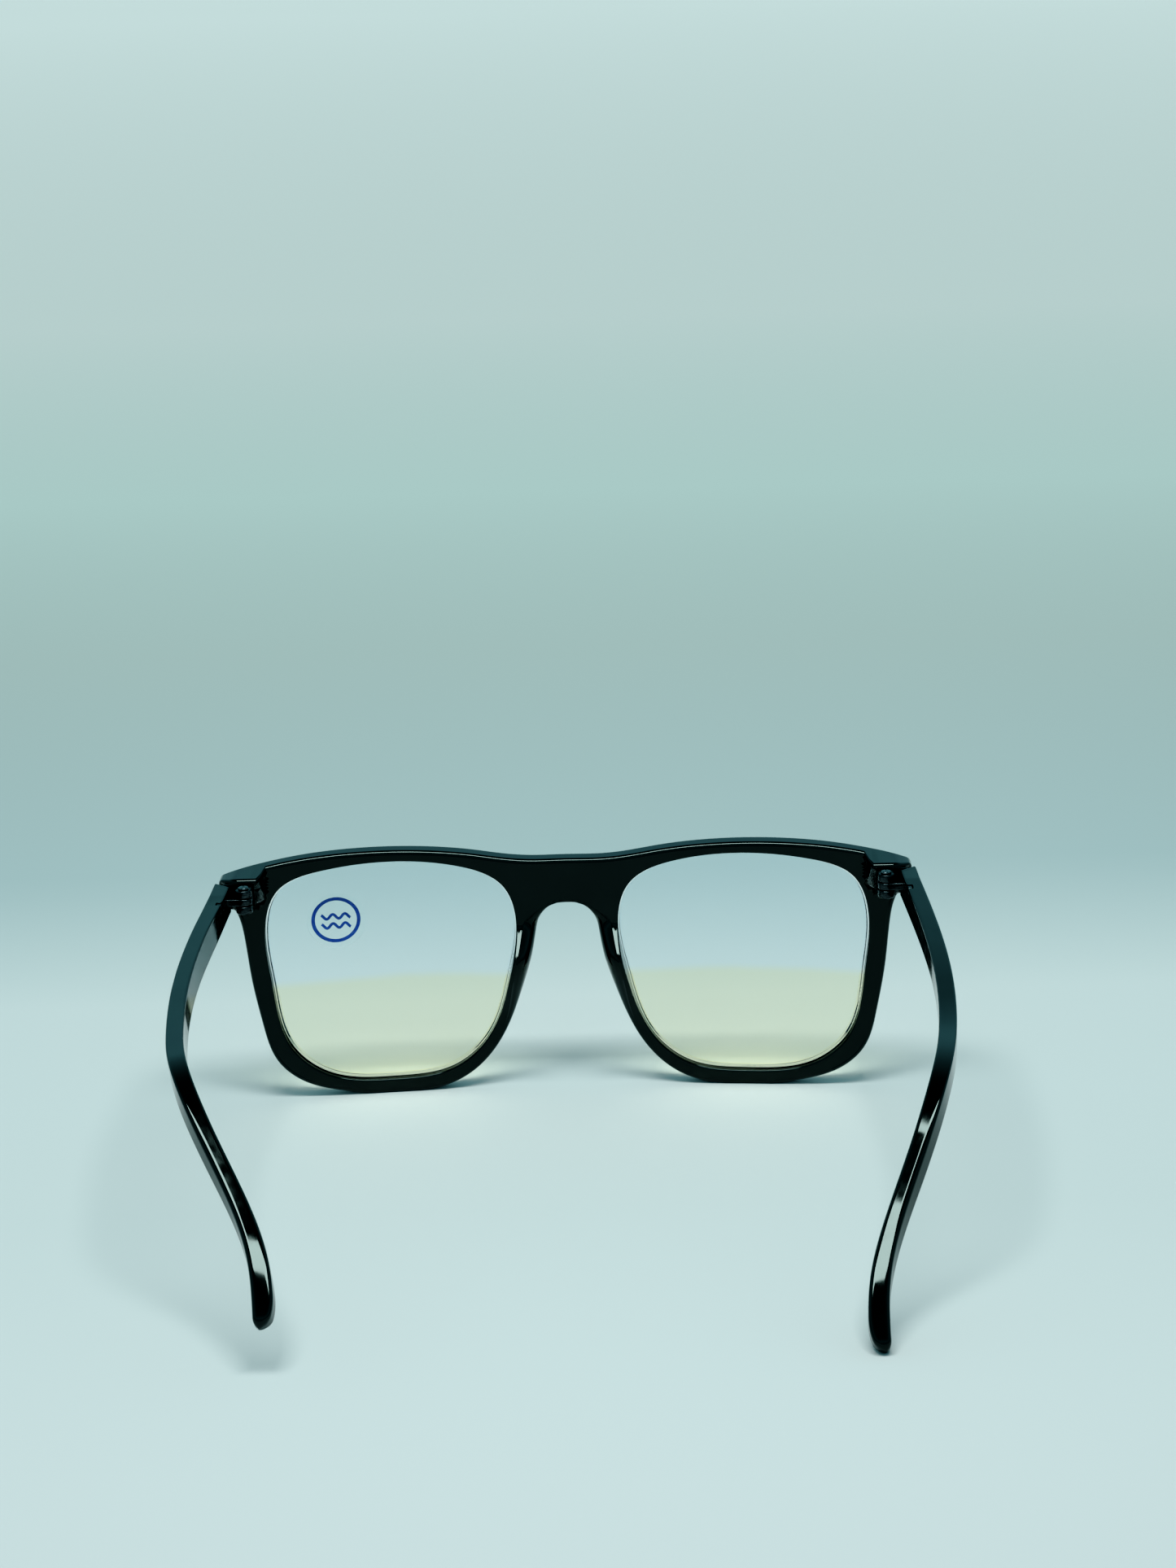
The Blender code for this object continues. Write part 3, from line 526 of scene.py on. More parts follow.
def mirror_into(bm):
    """Add the mirror image across the middle plane."""
    copy = bmesh.ops.duplicate(bm, geom=bm.verts[:] + bm.edges[:] + bm.faces[:])["geom"]
    for item in copy:
        if isinstance(item, bmesh.types.BMVert):
            item.co.x = -item.co.x


def shade(mesh, angle=34):
    mesh.shade_smooth()
    mesh.set_sharp_from_angle(angle=math.radians(angle))


def make_object(name, bm, mat):
    """Closed mesh object with its faces out."""
    bmesh.ops.remove_doubles(bm, verts=bm.verts[:], dist=1e-6)
    bmesh.ops.recalc_face_normals(bm, faces=bm.faces[:])
    if bm.calc_volume(signed=True) < 0:
        bmesh.ops.reverse_faces(bm, faces=bm.faces[:])
    mesh = bpy.data.meshes.new(name)
    bm.to_mesh(mesh)
    bm.free()
    shade(mesh)
    mesh.materials.append(mat)
    obj = bpy.data.objects.new(name, mesh)
    bpy.context.scene.collection.objects.link(obj)
    return obj


def boolean(target, tool, operation):
    """Apply a Boolean with a helper object and remove the helper."""
    mod = target.modifiers.new(operation.lower(), "BOOLEAN")
    mod.operation = operation
    mod.solver = "EXACT"
    mod.object = tool
    bpy.context.view_layer.update()
    evaluated = target.evaluated_get(bpy.context.evaluated_depsgraph_get())
    mesh = bpy.data.meshes.new_from_object(evaluated)
    target.modifiers.remove(mod)
    target.data = mesh
    shade(mesh)
    bpy.data.objects.remove(tool)


def flipped(points, side):
    return points * np.array([side, 1, 1])


def slab(outline, bottom, top, bevel, side=1):
    """Solid between two levels over a closed outline in (across, back), with its rims rounded."""
    inward = normals(outline, True)
    centre = outline.mean(axis=0)
    if np.mean(np.sum(inward * (centre - outline), axis=1)) < 0:
        inward = -inward
    turns = np.radians(np.linspace(0, 90, BEVEL_STEPS + 1))
    levels = [(bevel * (1 - math.sin(a)), bottom + bevel * (1 - math.cos(a))) for a in turns]
    levels += [(bevel * (1 - math.sin(a)), top - bevel * (1 - math.cos(a))) for a in turns[::-1]]
    rows = []
    for inset, z in levels:
        flat = outline + inward * inset
        rows.append(flipped(np.stack([flat[:, 0], flat[:, 1], np.full(len(flat), z)], -1), side))
    bm = bmesh.new()
    add_capped(bm, rows)
    return bm


def rounded_rectangle(low, high, radius):
    """Closed outline with rounded corners, anticlockwise."""
    corners = [((high[0] - radius, high[1] - radius), 0), ((low[0] + radius, high[1] - radius), 90),
               ((low[0] + radius, low[1] + radius), 180), ((high[0] - radius, low[1] + radius), 270)]
    return np.vstack([arc(centre, radius, start, start + 90, BEVEL_STEPS) for centre, start in corners])


def block(low, high, bevel, side=1):
    """Box with rounded edges between two corners."""
    return slab(rounded_rectangle(low[:2], high[:2], bevel), low[2], high[2], bevel, side)


def turned(x, y, profile, side=1):
    """Solid of revolution round an upright axis, from (radius, height) pairs."""
    a = np.linspace(0, 2 * math.pi, ROUND_SIDES, endpoint=False)
    rows = [flipped(np.stack([x + r * np.cos(a), y + r * np.sin(a), np.full(len(a), z)], -1), side)
            for r, z in profile]
    bm = bmesh.new()
    add_capped(bm, rows)
    return bm


def join_all(name, base, extras, mat):
    """Union of several meshes as one body."""
    obj = make_object(name, base, mat)
    for extra in extras:
        boolean(obj, make_object("extra", extra, mat), "UNION")
    return obj


def cut(target, tools, mat):
    first, *others = tools
    boolean(target, join_all("tool", first, others, mat), "DIFFERENCE")


def keep_inside(mesh):
    """Flatten the hair's breadth by which fine curves swell past the CAD model's box."""
    for v in mesh.vertices:
        v.co = [min(max(c, low), high) for c, low, high in zip(v.co, *cad_box)]


def stand_for(piece, node):
    """The piece is shown instead of a CAD node, on that node's body."""
    keep_inside(piece.data)
    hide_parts(node)
    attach(piece, BODY_OF[node])


# -------------------------------------------------------------------------------------------- materials

def start_material(name):
    mat = bpy.data.materials.new(name)
    mat.use_nodes = True
    return mat, mat.node_tree, mat.node_tree.nodes["Principled BSDF"]


def add(tree, kind, **values):
    """A node with its properties and input values set."""
    node = tree.nodes.new("ShaderNode" + kind)
    for key, value in values.items():
        if key in node.inputs:
            node.inputs[key].default_value = value
        else:
            setattr(node, key, value)
    return node


def grain(tree, scale, detail=3.0, stretch=(1, 1, 1)):
    """Noise that stays put on the piece; scale is repeats per metre."""
    where = add(tree, "TexCoord")
    scaled = add(tree, "Mapping")
    scaled.inputs["Scale"].default_value = stretch
    noise = add(tree, "TexNoise", Scale=scale, Detail=detail)
    tree.links.new(where.outputs["Object"], scaled.inputs["Vector"])
    tree.links.new(scaled.outputs["Vector"], noise.inputs["Vector"])
    return noise.outputs["Fac"]


def between(tree, factor, low, high):
    """Number that runs from low to high with the factor."""
    node = add(tree, "MapRange")
    node.inputs["From Min"].default_value = 0.3
    node.inputs["From Max"].default_value = 0.7
    node.inputs["To Min"].default_value = low
    node.inputs["To Max"].default_value = high
    tree.links.new(factor, node.inputs["Value"])
    return node.outputs["Result"]


def colours(tree, factor, stops):
    """Colour ramp over (position, colour) stops."""
    node = add(tree, "ValToRGB")
    ramp = node.color_ramp
    while len(ramp.elements) < len(stops):
        ramp.elements.new(0.5)
    for element, (position, colour) in zip(ramp.elements, stops):
        element.position = position
        element.color = (*colour, 1.0)
    tree.links.new(factor, node.inputs["Fac"])
    return node.outputs["Color"]


def bumped(tree, shader, height, distance, strength=1.0):
    node = add(tree, "Bump", Strength=strength, Distance=distance)
    tree.links.new(height, node.inputs["Height"])
    tree.links.new(node.outputs["Normal"], shader.inputs["Normal"])


def gloss_black():
    """Polished injection-moulded plastic: faint waviness, finger haze and a barely uneven black."""
    mat, tree, shader = start_material("gloss_black_plastic")
    shader.inputs["IOR"].default_value = 1.49
    shader.inputs["Specular Tint"].default_value = (0.86, 1.0, 0.96, 1.0)
    haze = grain(tree, 160.0, 4.0)
    tree.links.new(colours(tree, haze, [(0.3, (0.0022, 0.0030, 0.0034)), (0.75, (0.0045, 0.0058, 0.0064))]),
                   shader.inputs["Base Color"])
    tree.links.new(between(tree, grain(tree, 420.0, 5.0), 0.045, 0.11), shader.inputs["Roughness"])
    bumped(tree, shader, grain(tree, 260.0, 1.0), 0.000008)
    return mat


def hinge_black():
    """Black-plated hinge metal with fine brushing."""
    mat, tree, shader = start_material("black_hinge_metal")
    shader.inputs["Metallic"].default_value = 1.0
    brushed = grain(tree, 900.0, 4.0, (1, 1, 9))
    tree.links.new(colours(tree, brushed, [(0.3, (0.03, 0.036, 0.038)), (0.7, (0.09, 0.1, 0.105))]),
                   shader.inputs["Base Color"])
    tree.links.new(between(tree, brushed, 0.16, 0.34), shader.inputs["Roughness"])
    bumped(tree, shader, brushed, 0.000006)
    return mat


def screw_steel():
    """Bright machine-turned steel."""
    mat, tree, shader = start_material("screw_steel")
    shader.inputs["Metallic"].default_value = 1.0
    turnings = grain(tree, 2500.0, 3.0, (1, 1, 0.2))
    tree.links.new(colours(tree, turnings, [(0.3, (0.07, 0.085, 0.09)), (0.7, (0.2, 0.22, 0.23))]),
                   shader.inputs["Base Color"])
    tree.links.new(between(tree, turnings, 0.14, 0.3), shader.inputs["Roughness"])
    bumped(tree, shader, turnings, 0.000004)
    return mat


def open_to_lamps(mat, tree, shader, colour):
    """Lamps shine through the surface, so that it casts hardly any shadow."""
    path = add(tree, "LightPath")
    clear = add(tree, "BsdfTransparent")
    clear.inputs["Color"].default_value = (*colour, 1.0)
    mix = add(tree, "MixShader")
    tree.links.new(path.outputs["Is Shadow Ray"], mix.inputs["Fac"])
    tree.links.new(shader.outputs["BSDF"], mix.inputs[1])
    tree.links.new(clear.outputs["BSDF"], mix.inputs[2])
    tree.links.new(mix.outputs["Shader"], tree.nodes["Material Output"].inputs["Surface"])


def lens_glass():
    """Clear coated blue-filter lens, yellow-green in its lower half; the neutral upper half is a painted
    reflection of the coating.
    """
    mat, tree, shader = start_material("filter_lens")
    shader.inputs["Transmission Weight"].default_value = 1.0
    shader.inputs["IOR"].default_value = 1.5
    shader.inputs["Specular IOR Level"].default_value = 0.12
    shader.inputs["Specular Tint"].default_value = (0.45, 0.7, 1.0, 1.0)
    where = add(tree, "TexCoord")
    axes = add(tree, "SeparateXYZ")
    tree.links.new(where.outputs["Object"], axes.inputs["Vector"])
    # Painted reflection: above a wavy line by height the colour turns from the lens's own yellow to neutral
    ripple = add(tree, "Math", operation="MULTIPLY_ADD")
    ripple.inputs[1].default_value = 0.0016
    tree.links.new(grain(tree, 45.0, 2.0), ripple.inputs[0])
    tree.links.new(axes.outputs["Z"], ripple.inputs[2])
    rise = add(tree, "MapRange")
    rise.interpolation_type = "SMOOTHSTEP"
    rise.inputs["From Min"].default_value = (PAINTED_REFLECTION_HEIGHT - PAINTED_REFLECTION_FADE) * MM
    rise.inputs["From Max"].default_value = (PAINTED_REFLECTION_HEIGHT + PAINTED_REFLECTION_FADE) * MM
    tree.links.new(ripple.outputs["Value"], rise.inputs["Value"])
    tint_and_painted_reflection = colours(tree, rise.outputs["Result"], [(0.0, (1.0, 0.965, 0.80)), (1.0, (0.96, 0.985, 1.0))])
    tree.links.new(tint_and_painted_reflection, shader.inputs["Base Color"])
    tree.links.new(between(tree, grain(tree, 300.0, 4.0), 0.0, 0.012), shader.inputs["Roughness"])
    open_to_lamps(mat, tree, shader, (0.95, 0.96, 0.9))
    return mat


def label_film():
    """Clear adhesive film with a faint haze."""
    mat, tree, shader = start_material("label_film")
    shader.inputs["Transmission Weight"].default_value = 1.0
    shader.inputs["IOR"].default_value = 1.08
    shader.inputs["Specular IOR Level"].default_value = 0.3
    haze = grain(tree, 700.0, 3.0)
    tree.links.new(colours(tree, haze, [(0.3, (0.965, 0.985, 0.985)), (0.7, (0.99, 1.0, 1.0))]),
                   shader.inputs["Base Color"])
    tree.links.new(between(tree, haze, 0.02, 0.06), shader.inputs["Roughness"])
    open_to_lamps(mat, tree, shader, (0.97, 0.98, 0.98))
    return mat


def label_ink():
    """Blue screen print."""
    mat, tree, shader = start_material("label_ink")
    blue = colours(tree, grain(tree, 1500.0, 3.0), [(0.3, (0.0, 0.02, 0.24)), (0.7, (0.0, 0.045, 0.36))])
    tree.links.new(blue, shader.inputs["Base Color"])
    tree.links.new(between(tree, grain(tree, 2200.0, 2.0), 0.4, 0.6), shader.inputs["Roughness"])
    return mat


# ----------------------------------------------------------------------------------------------- pieces

def plate_box(rear=BLOCK_REAR):
    """Hinge plate sunk into the end block."""
    return ((HINGE_X - KNUCKLE_RADIUS, BLOCK_REAR - PLATE_DEPTH, HINGE_BOTTOM),
            (HINGE_X + KNUCKLE_RADIUS, rear, HINGE_TOP))


def tang_box():
    """Tang behind the plate."""
    return ((HINGE_X - ANCHOR_HALF, BLOCK_REAR - ANCHOR_DEPTH, HINGE_BOTTOM + ANCHOR_INSET),
            (HINGE_X + ANCHOR_HALF, BLOCK_REAR - PLATE_DEPTH / 2, HINGE_TOP - ANCHOR_INSET))


def hinge_pockets(side):
    """Recesses in the end block for the plate, open to the rear, and for its tang."""
    boxes = (plate_box(BLOCK_REAR + OVERCUT), tang_box())
    return [block(*grown(*corners), POCKET_BEVEL, side) for corners in boxes]


def grown(low, high):
    """A box with the pocket's clearance all round."""
    return np.array(low) - POCKET_GAP, np.array(high) + POCKET_GAP


def rim_moulding(mat):
    """Both rims, the bridge, the nose pads and the end blocks in one moulding."""
    outline = outer_outline()
    strip, inset_front, inset_rear = edge_rows(outline, normals(outline, False))
    bm = bmesh.new()
    add_patch(bm, strip, closed=False)
    loops = []
    for inset in (inset_front, inset_rear):
        seam = spaced(np.array([inset[-1], inset[0]]), SEAM_STEPS)[1:-1]
        loops.append(np.vstack([inset, seam]))
    angle = lens_angles(loops[0])
    edge = polar(angle, opening_radius(angle))
    outward = -normals(edge, True)
    if np.mean(np.sum(outward * (edge - np.array(LENS_CENTRE)), axis=1)) < 0:
        outward = -outward
    rows, lip = opening_rows(edge, outward)
    add_patch(bm, rows, closed=True)
    for loop, depth in zip(loops, (front_face, rear_face)):
        flats = [loop + (lip - loop) * t for t in eased(FACE_ROWS)]
        add_patch(bm, [place(flat, depth(flat[:, 0], flat[:, 1])) for flat in flats], closed=True)
    mirror_into(bm)
    obj = make_object("rim_moulding", bm, mat)
    for side in (1, -1):
        cut(obj, hinge_pockets(side), mat)
    stand_for(obj, "front_frame")


def section(centre, side, up, half_thick, half_high, corner):
    """Rounded rectangle around a point of the temple."""
    c = min(corner, half_thick * CORNER_SHARE, half_high * CORNER_SHARE)
    hold = CORNER_HOLD * min(half_thick - c, half_high - c)
    points = []
    for start, sx, sz in ((0, 1, 1), (90, -1, 1), (180, -1, -1), (270, 1, -1)):
        bend = arc((sx * (half_thick - c), sz * (half_high - c)), c, start, start + 90, ARC_STEPS)
        first = bend[0] - hold * np.array([-math.sin(math.radians(start)), math.cos(math.radians(start))])
        last = bend[-1] + hold * np.array([-math.cos(math.radians(start)), -math.sin(math.radians(start))])
        points += [centre + side * a + up * b for a, b in (first, *bend, last)]
    return np.array(points)


def half_thickness(share):
    """Half the temple's thickness at a share of its length."""
    start, stretch = TIP_SWELL
    swell = float(smooth((share - start) / stretch))
    return (TEMPLE_THICKNESS + (TIP_THICKNESS - TEMPLE_THICKNESS) * swell) / 2


def tip_loss(remaining):
    """Share of the thickness that the tip's inner side has lost, this far before its end."""
    past = min(max(1 - remaining / TIP_NARROWING, 0.0), 1.0)
    return TIP_SKEW * (1 - math.sqrt(1 - past * past))


def tip_round(shrink):
    """Share of the thickness left where the tip's height has shrunk to this share."""
    return (TIP_LEAST + (1 - TIP_LEAST) * shrink) * min(1.0, TIP_BLUNTNESS + shrink)


def temple_sections(side_sign):
    """Cross-sections from the hinge end to the rounded tip."""
    path = spaced(spline(TEMPLE), TEMPLE_RINGS)
    path[:, 0] *= side_sign
    along = np.gradient(path[:, :3], axis=0)
    along /= np.linalg.norm(along, axis=1)[:, None]
    length = np.linalg.norm(np.diff(path[:, :3], axis=0), axis=1).sum()
    radius = path[-1, 3] / 2
    rows = []
    for i, (point, t) in enumerate(zip(path, along)):
        side = np.array([t[1], -t[0], 0.0])
        side /= np.linalg.norm(side)
        up = np.cross(side, t)
        share = i / TEMPLE_RINGS
        lead = float(smooth(share * SQUARE_START))
        side = side * lead + np.array([1.0, 0, 0]) * (1 - lead)
        up = up * lead + np.array([0, 0, 1.0]) * (1 - lead)
        half_high = point[3] / 2
        full_thick = half_thickness(share)
        loss = full_thick * tip_loss((1 - share) * length + radius)
        half_thick = full_thick - loss
        growth = float(smooth((share - CORNER_GROWTH[0]) / CORNER_GROWTH[1]))
        corner = SHAFT_CORNER + (DROP_CORNER - SHAFT_CORNER) * growth
        middle = point[:3] - up * half_high
        centre = middle + side * side_sign * loss
        if i == 0:
            for a in np.radians(np.linspace(0, 90, BEVEL_STEPS + 1)[:-1]):
                inset = END_BEVEL * (1 - math.sin(a))
                back = np.array([0, END_BEVEL * (1 - math.cos(a)), 0])
                rows.append(section(centre + back, side, up, half_thick - inset, half_high - inset, corner))
        back = np.array([0, END_BEVEL if i == 0 else 0.0, 0])
        rows.append(section(centre + back, side, up, half_thick, half_high, corner))
    for row in rows:
        outwards = side_sign * (row[:, 0] - path[0, 0]) / TEMPLE_THICKNESS + 0.5
        behind = row[:, 1].mean() - TEMPLE_FRONT
        row[:, 1] -= TEMPLE_MITRE * outwards * max(0.0, 1 - behind / MITRE_FADE)
    for a in np.radians(np.linspace(0, TIP_TURN, TIP_RINGS)[1:]):
        shrink = math.cos(a)
        loss = full_thick * tip_loss(radius * (1 - math.sin(a)))
        far = middle + side * side_sign * loss + t * radius * math.sin(a)
        half_thick = (full_thick - loss) * tip_round(shrink)
        rows.append(section(far, side, up, half_thick, half_high * shrink, DROP_CORNER))
    if side_sign > 0:
        rows = [left_set(row) for row in rows]
    return rows


def left_set(points):
    """The left temple's own lift, spread and lean, which grow over a short stretch behind the hinge."""
    share = float(smooth((points[:, 1].mean() - TEMPLE_FRONT) / SET_STRETCH))
    pivot = np.array([TEMPLE[0][0], HINGE_Y, HINGE_MIDDLE])
    turn = (Matrix.Rotation(math.radians(-LEFT_SPREAD) * share, 3, "Z")
            @ Matrix.Rotation(math.radians(LEFT_LIFT) * share, 3, "X")
            @ Matrix.Rotation(math.radians(LEFT_LEAN) * share, 3, "Y"))
    return (points - pivot) @ np.array(turn).T + pivot


def knuckle_levels():
    """Bottom and top of the lower, middle and upper knuckle."""
    bottom = HINGE_MIDDLE - MIDDLE_KNUCKLE / 2
    top = HINGE_MIDDLE + MIDDLE_KNUCKLE / 2
    return [(HINGE_BOTTOM, bottom - KNUCKLE_GAP), (bottom, top), (top + KNUCKLE_GAP, HINGE_TOP)]


def arm_box():
    """Arm from the middle knuckle to the temple."""
    bottom, top = knuckle_levels()[1]
    return (HINGE_X, HINGE_Y - ARM_FRONT, bottom), (HINGE_X + ARM_REACH, HINGE_Y + ARM_BACK, top)


def arm_plate_box():
    """Plate moulded into the temple."""
    return ((HINGE_X + INSERT_INNER, HINGE_Y - ARM_FRONT, HINGE_MIDDLE - INSERT_HALF),
            (HINGE_X + INSERT_OUTER, HINGE_Y + INSERT_BACK, HINGE_MIDDLE + INSERT_HALF))


def temple_arm(word, side, mat):
    """Side arm: nearly straight shaft, bend over the ear and rounded tip resting on the ground."""
    bm = bmesh.new()
    add_capped(bm, temple_sections(side))
    obj = make_object(word + "_arm", bm, mat)
    cut(obj, [block(*grown(*corners), POCKET_BEVEL, side) for corners in (arm_box(), arm_plate_box())], mat)
    stand_for(obj, word + "_temple")


def drill(obj, side, mat):
    profile = [(SCREW_HOLE, HINGE_BOTTOM - OVERCUT), (SCREW_HOLE, HINGE_TOP + OVERCUT)]
    cut(obj, [turned(HINGE_X, HINGE_Y, profile, side)], mat)


def knuckle_outline():
    """Half-round knuckle with straight flanks into the plate."""
    bend = arc((HINGE_X, HINGE_Y), KNUCKLE_RADIUS, 0, 180, KNUCKLE_STEPS)
    root = BLOCK_REAR - PLATE_DEPTH / 2
    return np.vstack([bend, [(HINGE_X - KNUCKLE_RADIUS, root), (HINGE_X + KNUCKLE_RADIUS, root)]])


def front_hinge(word, side, mat):
    """Plate and tang in the block, with the lower and upper knuckles."""
    lower, _, upper = knuckle_levels()
    plate = block(*plate_box(), PLATE_BEVEL, side)
    tang = block(*tang_box(), PLATE_BEVEL, side)
    knuckles = [slab(knuckle_outline(), *levels, KNUCKLE_BEVEL, side) for levels in (lower, upper)]
    obj = join_all(word + "_hinge_front", plate, [tang, *knuckles], mat)
    drill(obj, side, mat)
    stand_for(obj, word + "_front_hinge")


def temple_hinge(word, side, mat):
    """Middle knuckle with its arm and the plate that anchors it in the temple."""
    circle = arc((HINGE_X, HINGE_Y), KNUCKLE_RADIUS, 0, 350, 35)
    knuckle = slab(circle, *knuckle_levels()[1], KNUCKLE_BEVEL, side)
    arm, plate = [block(*corners, PLATE_BEVEL, side) for corners in (arm_box(), arm_plate_box())]
    obj = join_all(word + "_hinge_arm", knuckle, [arm, plate], mat)
    drill(obj, side, mat)
    stand_for(obj, word + "_temple_hinge")


def hinge_screw(word, side, mat):
    """Screw with a low domed, slotted head on top."""
    bottom = HINGE_BOTTOM + SCREW_FOOT
    head = HINGE_TOP + HEAD_GAP
    crown = head + SCREW_HEAD_HEIGHT
    profile = [(SCREW_RADIUS - SCREW_CHAMFER, bottom), (SCREW_RADIUS, bottom + SCREW_CHAMFER),
               (SCREW_RADIUS, head - HEAD_GAP), (SCREW_RADIUS, head),
               (SCREW_HEAD_RADIUS - HEAD_EDGE, head), (SCREW_HEAD_RADIUS, head + HEAD_EDGE)]
    for a in np.radians(np.linspace(0, HEAD_TURN, HEAD_RINGS)):
        inset = HEAD_DOME * (1 - math.cos(a)) + HEAD_SHOULDER * math.sin(a) ** 4
        profile.append((SCREW_HEAD_RADIUS - inset, crown - HEAD_DOME * (1 - math.sin(a))))
    profile.append((HEAD_FLAT, crown))
    obj = make_object(word + "_hinge_screw_steel", turned(HINGE_X, HINGE_Y, profile, side), mat)
    low = (HINGE_X - SCREW_SLOT, HINGE_Y - SLOT_REACH, crown - SLOT_DEPTH)
    high = (HINGE_X + SCREW_SLOT, HINGE_Y + SLOT_REACH, crown + OVERCUT)
    cut(obj, [block(low, high, SLOT_BEVEL, side)], mat)
    stand_for(obj, word + "_hinge_screw")


def lens(word, side, mat):
    """Curved lens with a bevelled edge that sits in the groove of its rim."""
    angle = np.linspace(0, 2 * math.pi, LENS_SIDES, endpoint=False)
    rim = opening_radius(angle)
    shares = np.sin(np.linspace(0.02, math.pi / 2, LENS_RINGS))
    rings = [((rim - LENS_BEVEL) * share, LENS_THICKNESS / 2) for share in shares]
    rings.insert(-1, (rim - 2 * LENS_BEVEL, LENS_THICKNESS / 2))
    rings += [(rim, LENS_EDGE_THICKNESS / 2), (rim + LENS_GRIP, LENS_EDGE_THICKNESS / 2)]
    rows = []
    for face, ordered in ((-1, rings), (1, rings[::-1])):
        for radius, half in ordered:
            flat = polar(angle, radius)
            rows.append(place(flat, lens_middle(flat[:, 0], flat[:, 1]) + face * half))
    bm = bmesh.new()
    add_capped(bm, [flipped(row, side) for row in rows])
    obj = make_object(word + "_lens_glass", bm, mat)
    stand_for(obj, word + "_lens")


def label_depth(x, z, level):
    """Front-to-back place of a point on the label, at a height above the lens."""
    return lens_middle(x, z) - LENS_THICKNESS / 2 - level


def label(film, ink):
    """Round film label on the outside of the left lens, with its print."""
    a = np.linspace(0, 2 * math.pi, LABEL_SIDES, endpoint=False)
    rows = []
    for level, shares in ((LABEL_GAP, LABEL_SHARES), (LABEL_GAP + LABEL_THICKNESS, LABEL_SHARES[::-1])):
        for share in shares:
            x = LABEL_CENTRE[0] + LABEL_RADIUS * share * np.cos(a)
            z = LABEL_CENTRE[1] + LABEL_RADIUS * share * np.sin(a)
            rows.append(place(np.stack([x, z], -1), label_depth(x, z, level)))
    bm = bmesh.new()
    add_capped(bm, rows)
    disc = make_object("label_disc", bm, film)
    stand_for(disc, "lens_label")
    bm = bmesh.new()
    ring = arc(MARK_CENTRE, MARK_RADIUS, 0, RING_TURN, RING_STEPS)
    add_ribbon(bm, ring, MARK_STROKE, closed=True)
    for place_up in WAVE_PLACES:
        x = np.linspace(-WAVE_REACH, WAVE_REACH, WAVE_STEPS)
        z = MARK_CENTRE[1] + place_up + WAVE_HEIGHT * np.sin(x * WAVE_RATE)
        add_ribbon(bm, np.stack([MARK_CENTRE[0] + x, z], -1), MARK_STROKE * WAVE_STROKE, closed=False)
    mark = make_object("label_mark", bm, ink)
    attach(mark, BODY_OF["lens_label"])


def add_ribbon(bm, line, width, closed):
    """Thin printed stroke along a line on the label's face."""
    out = normals(line, True) if closed else open_normals(line)
    rows = []
    base = LABEL_GAP + LABEL_THICKNESS - INK_THICKNESS
    face = base + INK_THICKNESS
    for p, n in zip(line, out):
        corners = []
        for reach, level in ((-0.5, base), (0.5, base), (0.5, face), (-0.5, face)):
            x, z = p + n * width * reach
            corners.append((x, label_depth(x, z, level), z))
        rows.append(np.array(corners))
    if closed:
        add_patch(bm, rows + rows[:1], closed=True)
    else:
        add_capped(bm, rows)


def open_normals(line):
    d = np.gradient(line, axis=0)
    d /= np.linalg.norm(d, axis=1)[:, None]
    return np.stack([d[:, 1], -d[:, 0]], -1)


# ------------------------------------------------------------------------------------- surroundings

def floor():
    """Pale sheet under and behind the glasses, with a painted pool of light near them and a painted glow far
    behind them that stands in for a lit backdrop.
    """
    signs = ((-1, -1), (1, -1), (1, 1), (-1, 1))
    mesh = bpy.data.meshes.new("floor")
    mesh.from_pydata([(FLOOR_SIZE * x, FLOOR_SIZE * y, 0) for x, y in signs], [], [(0, 1, 2, 3)])
    obj = bpy.data.objects.new("floor", mesh)
    bpy.context.scene.collection.objects.link(obj)
    mat, tree, shader = start_material("pale_sheet_painted_light")
    shader.inputs["Roughness"].default_value = 0.7
    shader.inputs["Specular IOR Level"].default_value = 0.1
    where = add(tree, "TexCoord")
    axes = add(tree, "SeparateXYZ")
    tree.links.new(where.outputs["Object"], axes.inputs["Vector"])
    # Painted light in the base colour: brighter where the panel's light pools near the glasses, darker past
    # the soft edge of its reach
    painted_light_pool = ramp_along(tree, axes.outputs["Y"], *FLOOR_PAINTED_POOL)
    tree.links.new(colours(tree, painted_light_pool, [(0.0, (0.64, 0.615, 0.615)), (0.25, (0.68, 0.68, 0.675)),
                                        (0.4, (0.78, 0.77, 0.76)), (0.52, (0.59, 0.65, 0.65)),
                                        (1.0, (0.59, 0.65, 0.65))]), shader.inputs["Base Color"])
    # Painted glow: the emission makes the far floor shine like a lit backdrop, though it is no lamp
    far = ramp_along(tree, axes.outputs["Y"], *FLOOR_PAINTED_GLOW)
    tree.links.new(colours(tree, far, [(0.0, (0.0, 0.0, 0.0)), (0.08, (0.11, 0.12, 0.09)),
                                       (0.16, (0.21, 0.27, 0.23)), (0.3, (0.315, 0.345, 0.315)),
                                       (1.0, (0.41, 0.455, 0.43))]), shader.inputs["Emission Color"])
    shader.inputs["Emission Strength"].default_value = 1.0
    mesh.materials.append(mat)


def ramp_along(tree, place_on_axis, start, end):
    """0 at one place along an axis and 1 at another, in metres."""
    node = add(tree, "MapRange")
    node.inputs["From Min"].default_value = start
    node.inputs["From Max"].default_value = end
    tree.links.new(place_on_axis, node.inputs["Value"])
    return node.outputs["Result"]


def overhead_light():
    """Soft panel above and slightly behind the glasses."""
    data = bpy.data.lights.new("overhead_panel", "AREA")
    data.shape = "RECTANGLE"
    data.size, data.size_y = PANEL_SIZE
    data.energy = PANEL_POWER
    data.color = PANEL_COLOUR
    obj = bpy.data.objects.new("overhead_panel", data)
    obj.location = PANEL_PLACE
    bpy.context.scene.collection.objects.link(obj)


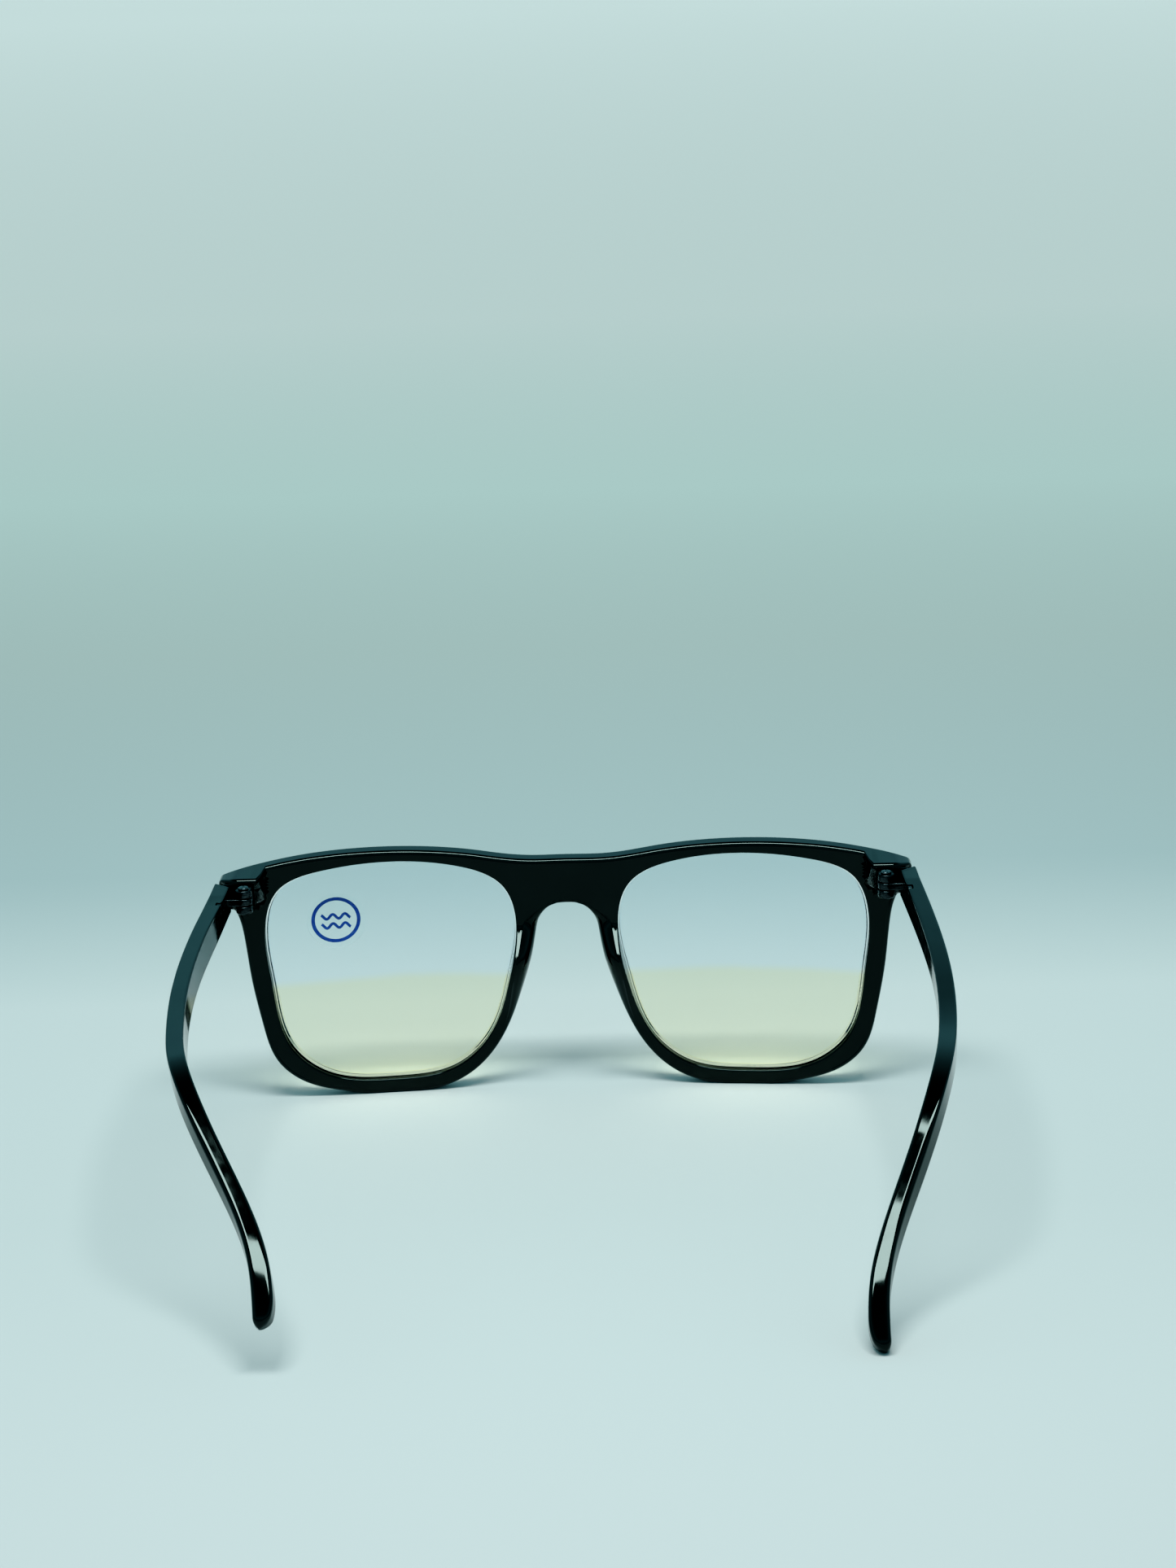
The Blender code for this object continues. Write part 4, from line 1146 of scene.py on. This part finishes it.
def world():
    """Pale walls that darken towards the ceiling; seen directly they are as pale as the far floor."""
    scene_world = bpy.data.worlds.new("studio")
    bpy.context.scene.world = scene_world
    scene_world.use_nodes = True
    tree = scene_world.node_tree
    tree.nodes.clear()
    where = add(tree, "TexCoord")
    axes = add(tree, "SeparateXYZ")
    tree.links.new(where.outputs["Generated"], axes.inputs["Vector"])
    room = add(tree, "Background", Strength=1.0)
    tree.links.new(colours(tree, axes.outputs["Z"],
                           [(0.0, (0.3, 0.5, 0.52)), (0.28, (0.22, 0.4, 0.44)), (0.48, (0.36, 0.66, 0.71)),
                            (0.74, (0.24, 0.4, 0.42)), (0.9, (0.12, 0.16, 0.16)),
                            (1.0, (0.08, 0.11, 0.11))]), room.inputs["Color"])
    seen = add(tree, "Background", Strength=1.0)
    seen.inputs["Color"].default_value = (0.56, 0.71, 0.7, 1.0)
    path = add(tree, "LightPath")
    either = add(tree, "Math", operation="MAXIMUM")
    tree.links.new(path.outputs["Is Camera Ray"], either.inputs[0])
    tree.links.new(path.outputs["Is Transmission Ray"], either.inputs[1])
    mix = add(tree, "MixShader")
    tree.links.new(either.outputs["Value"], mix.inputs["Fac"])
    tree.links.new(room.outputs["Background"], mix.inputs[1])
    tree.links.new(seen.outputs["Background"], mix.inputs[2])
    out = add(tree, "OutputWorld")
    tree.links.new(mix.outputs["Shader"], out.inputs["Surface"])


def tones():
    """Plain display with the deep contrast of the picture: the darkest tones go nearly to black."""
    settings = bpy.context.scene.view_settings
    settings.view_transform = "Standard"
    settings.use_curve_mapping = True
    curve = settings.curve_mapping.curves[3]
    for linear, shown in ((0.02, 0.0015), (0.045, 0.012), (0.09, 0.055), (0.2, 0.19), (0.4, 0.4)):
        curve.points.new(linear, shown)
    settings.curve_mapping.update()


def camera():
    """Looks down at the glasses from behind the wearer's side."""
    drop, turn, roll = [math.radians(v) for v in (CAMERA_DROP, CAMERA_TURN, CAMERA_ROLL)]
    spin = Matrix.Rotation(turn, 3, "Z")
    ahead = spin @ Vector((0, -math.cos(drop), -math.sin(drop)))
    up = spin @ Vector((0, -math.sin(drop), math.cos(drop)))
    right = spin @ Vector((-1, 0, 0))
    right, up = (math.cos(roll) * right + math.sin(roll) * up, -math.sin(roll) * right + math.cos(roll) * up)
    data = bpy.data.cameras.new("camera")
    data.sensor_width = SENSOR_WIDTH
    data.lens = CAMERA_LENS
    data.clip_start = 0.01
    data.clip_end = 60.0
    obj = bpy.data.objects.new("camera", data)
    obj.matrix_world = Matrix((right, up, -ahead)).transposed().to_4x4()
    obj.location = to_scene(CAMERA_PLACE)
    bpy.context.scene.collection.objects.link(obj)
    bpy.context.scene.camera = obj


def main():
    black = gloss_black()
    metal = hinge_black()
    steel = screw_steel()
    glass = lens_glass()
    rim_moulding(black)
    for side, word in ((1, "left"), (-1, "right")):
        lens(word, side, glass)
        temple_arm(word, side, black)
        front_hinge(word, side, metal)
        temple_hinge(word, side, metal)
        hinge_screw(word, side, steel)
    label(label_film(), label_ink())
    floor()
    overhead_light()
    world()
    camera()
    tones()


main()
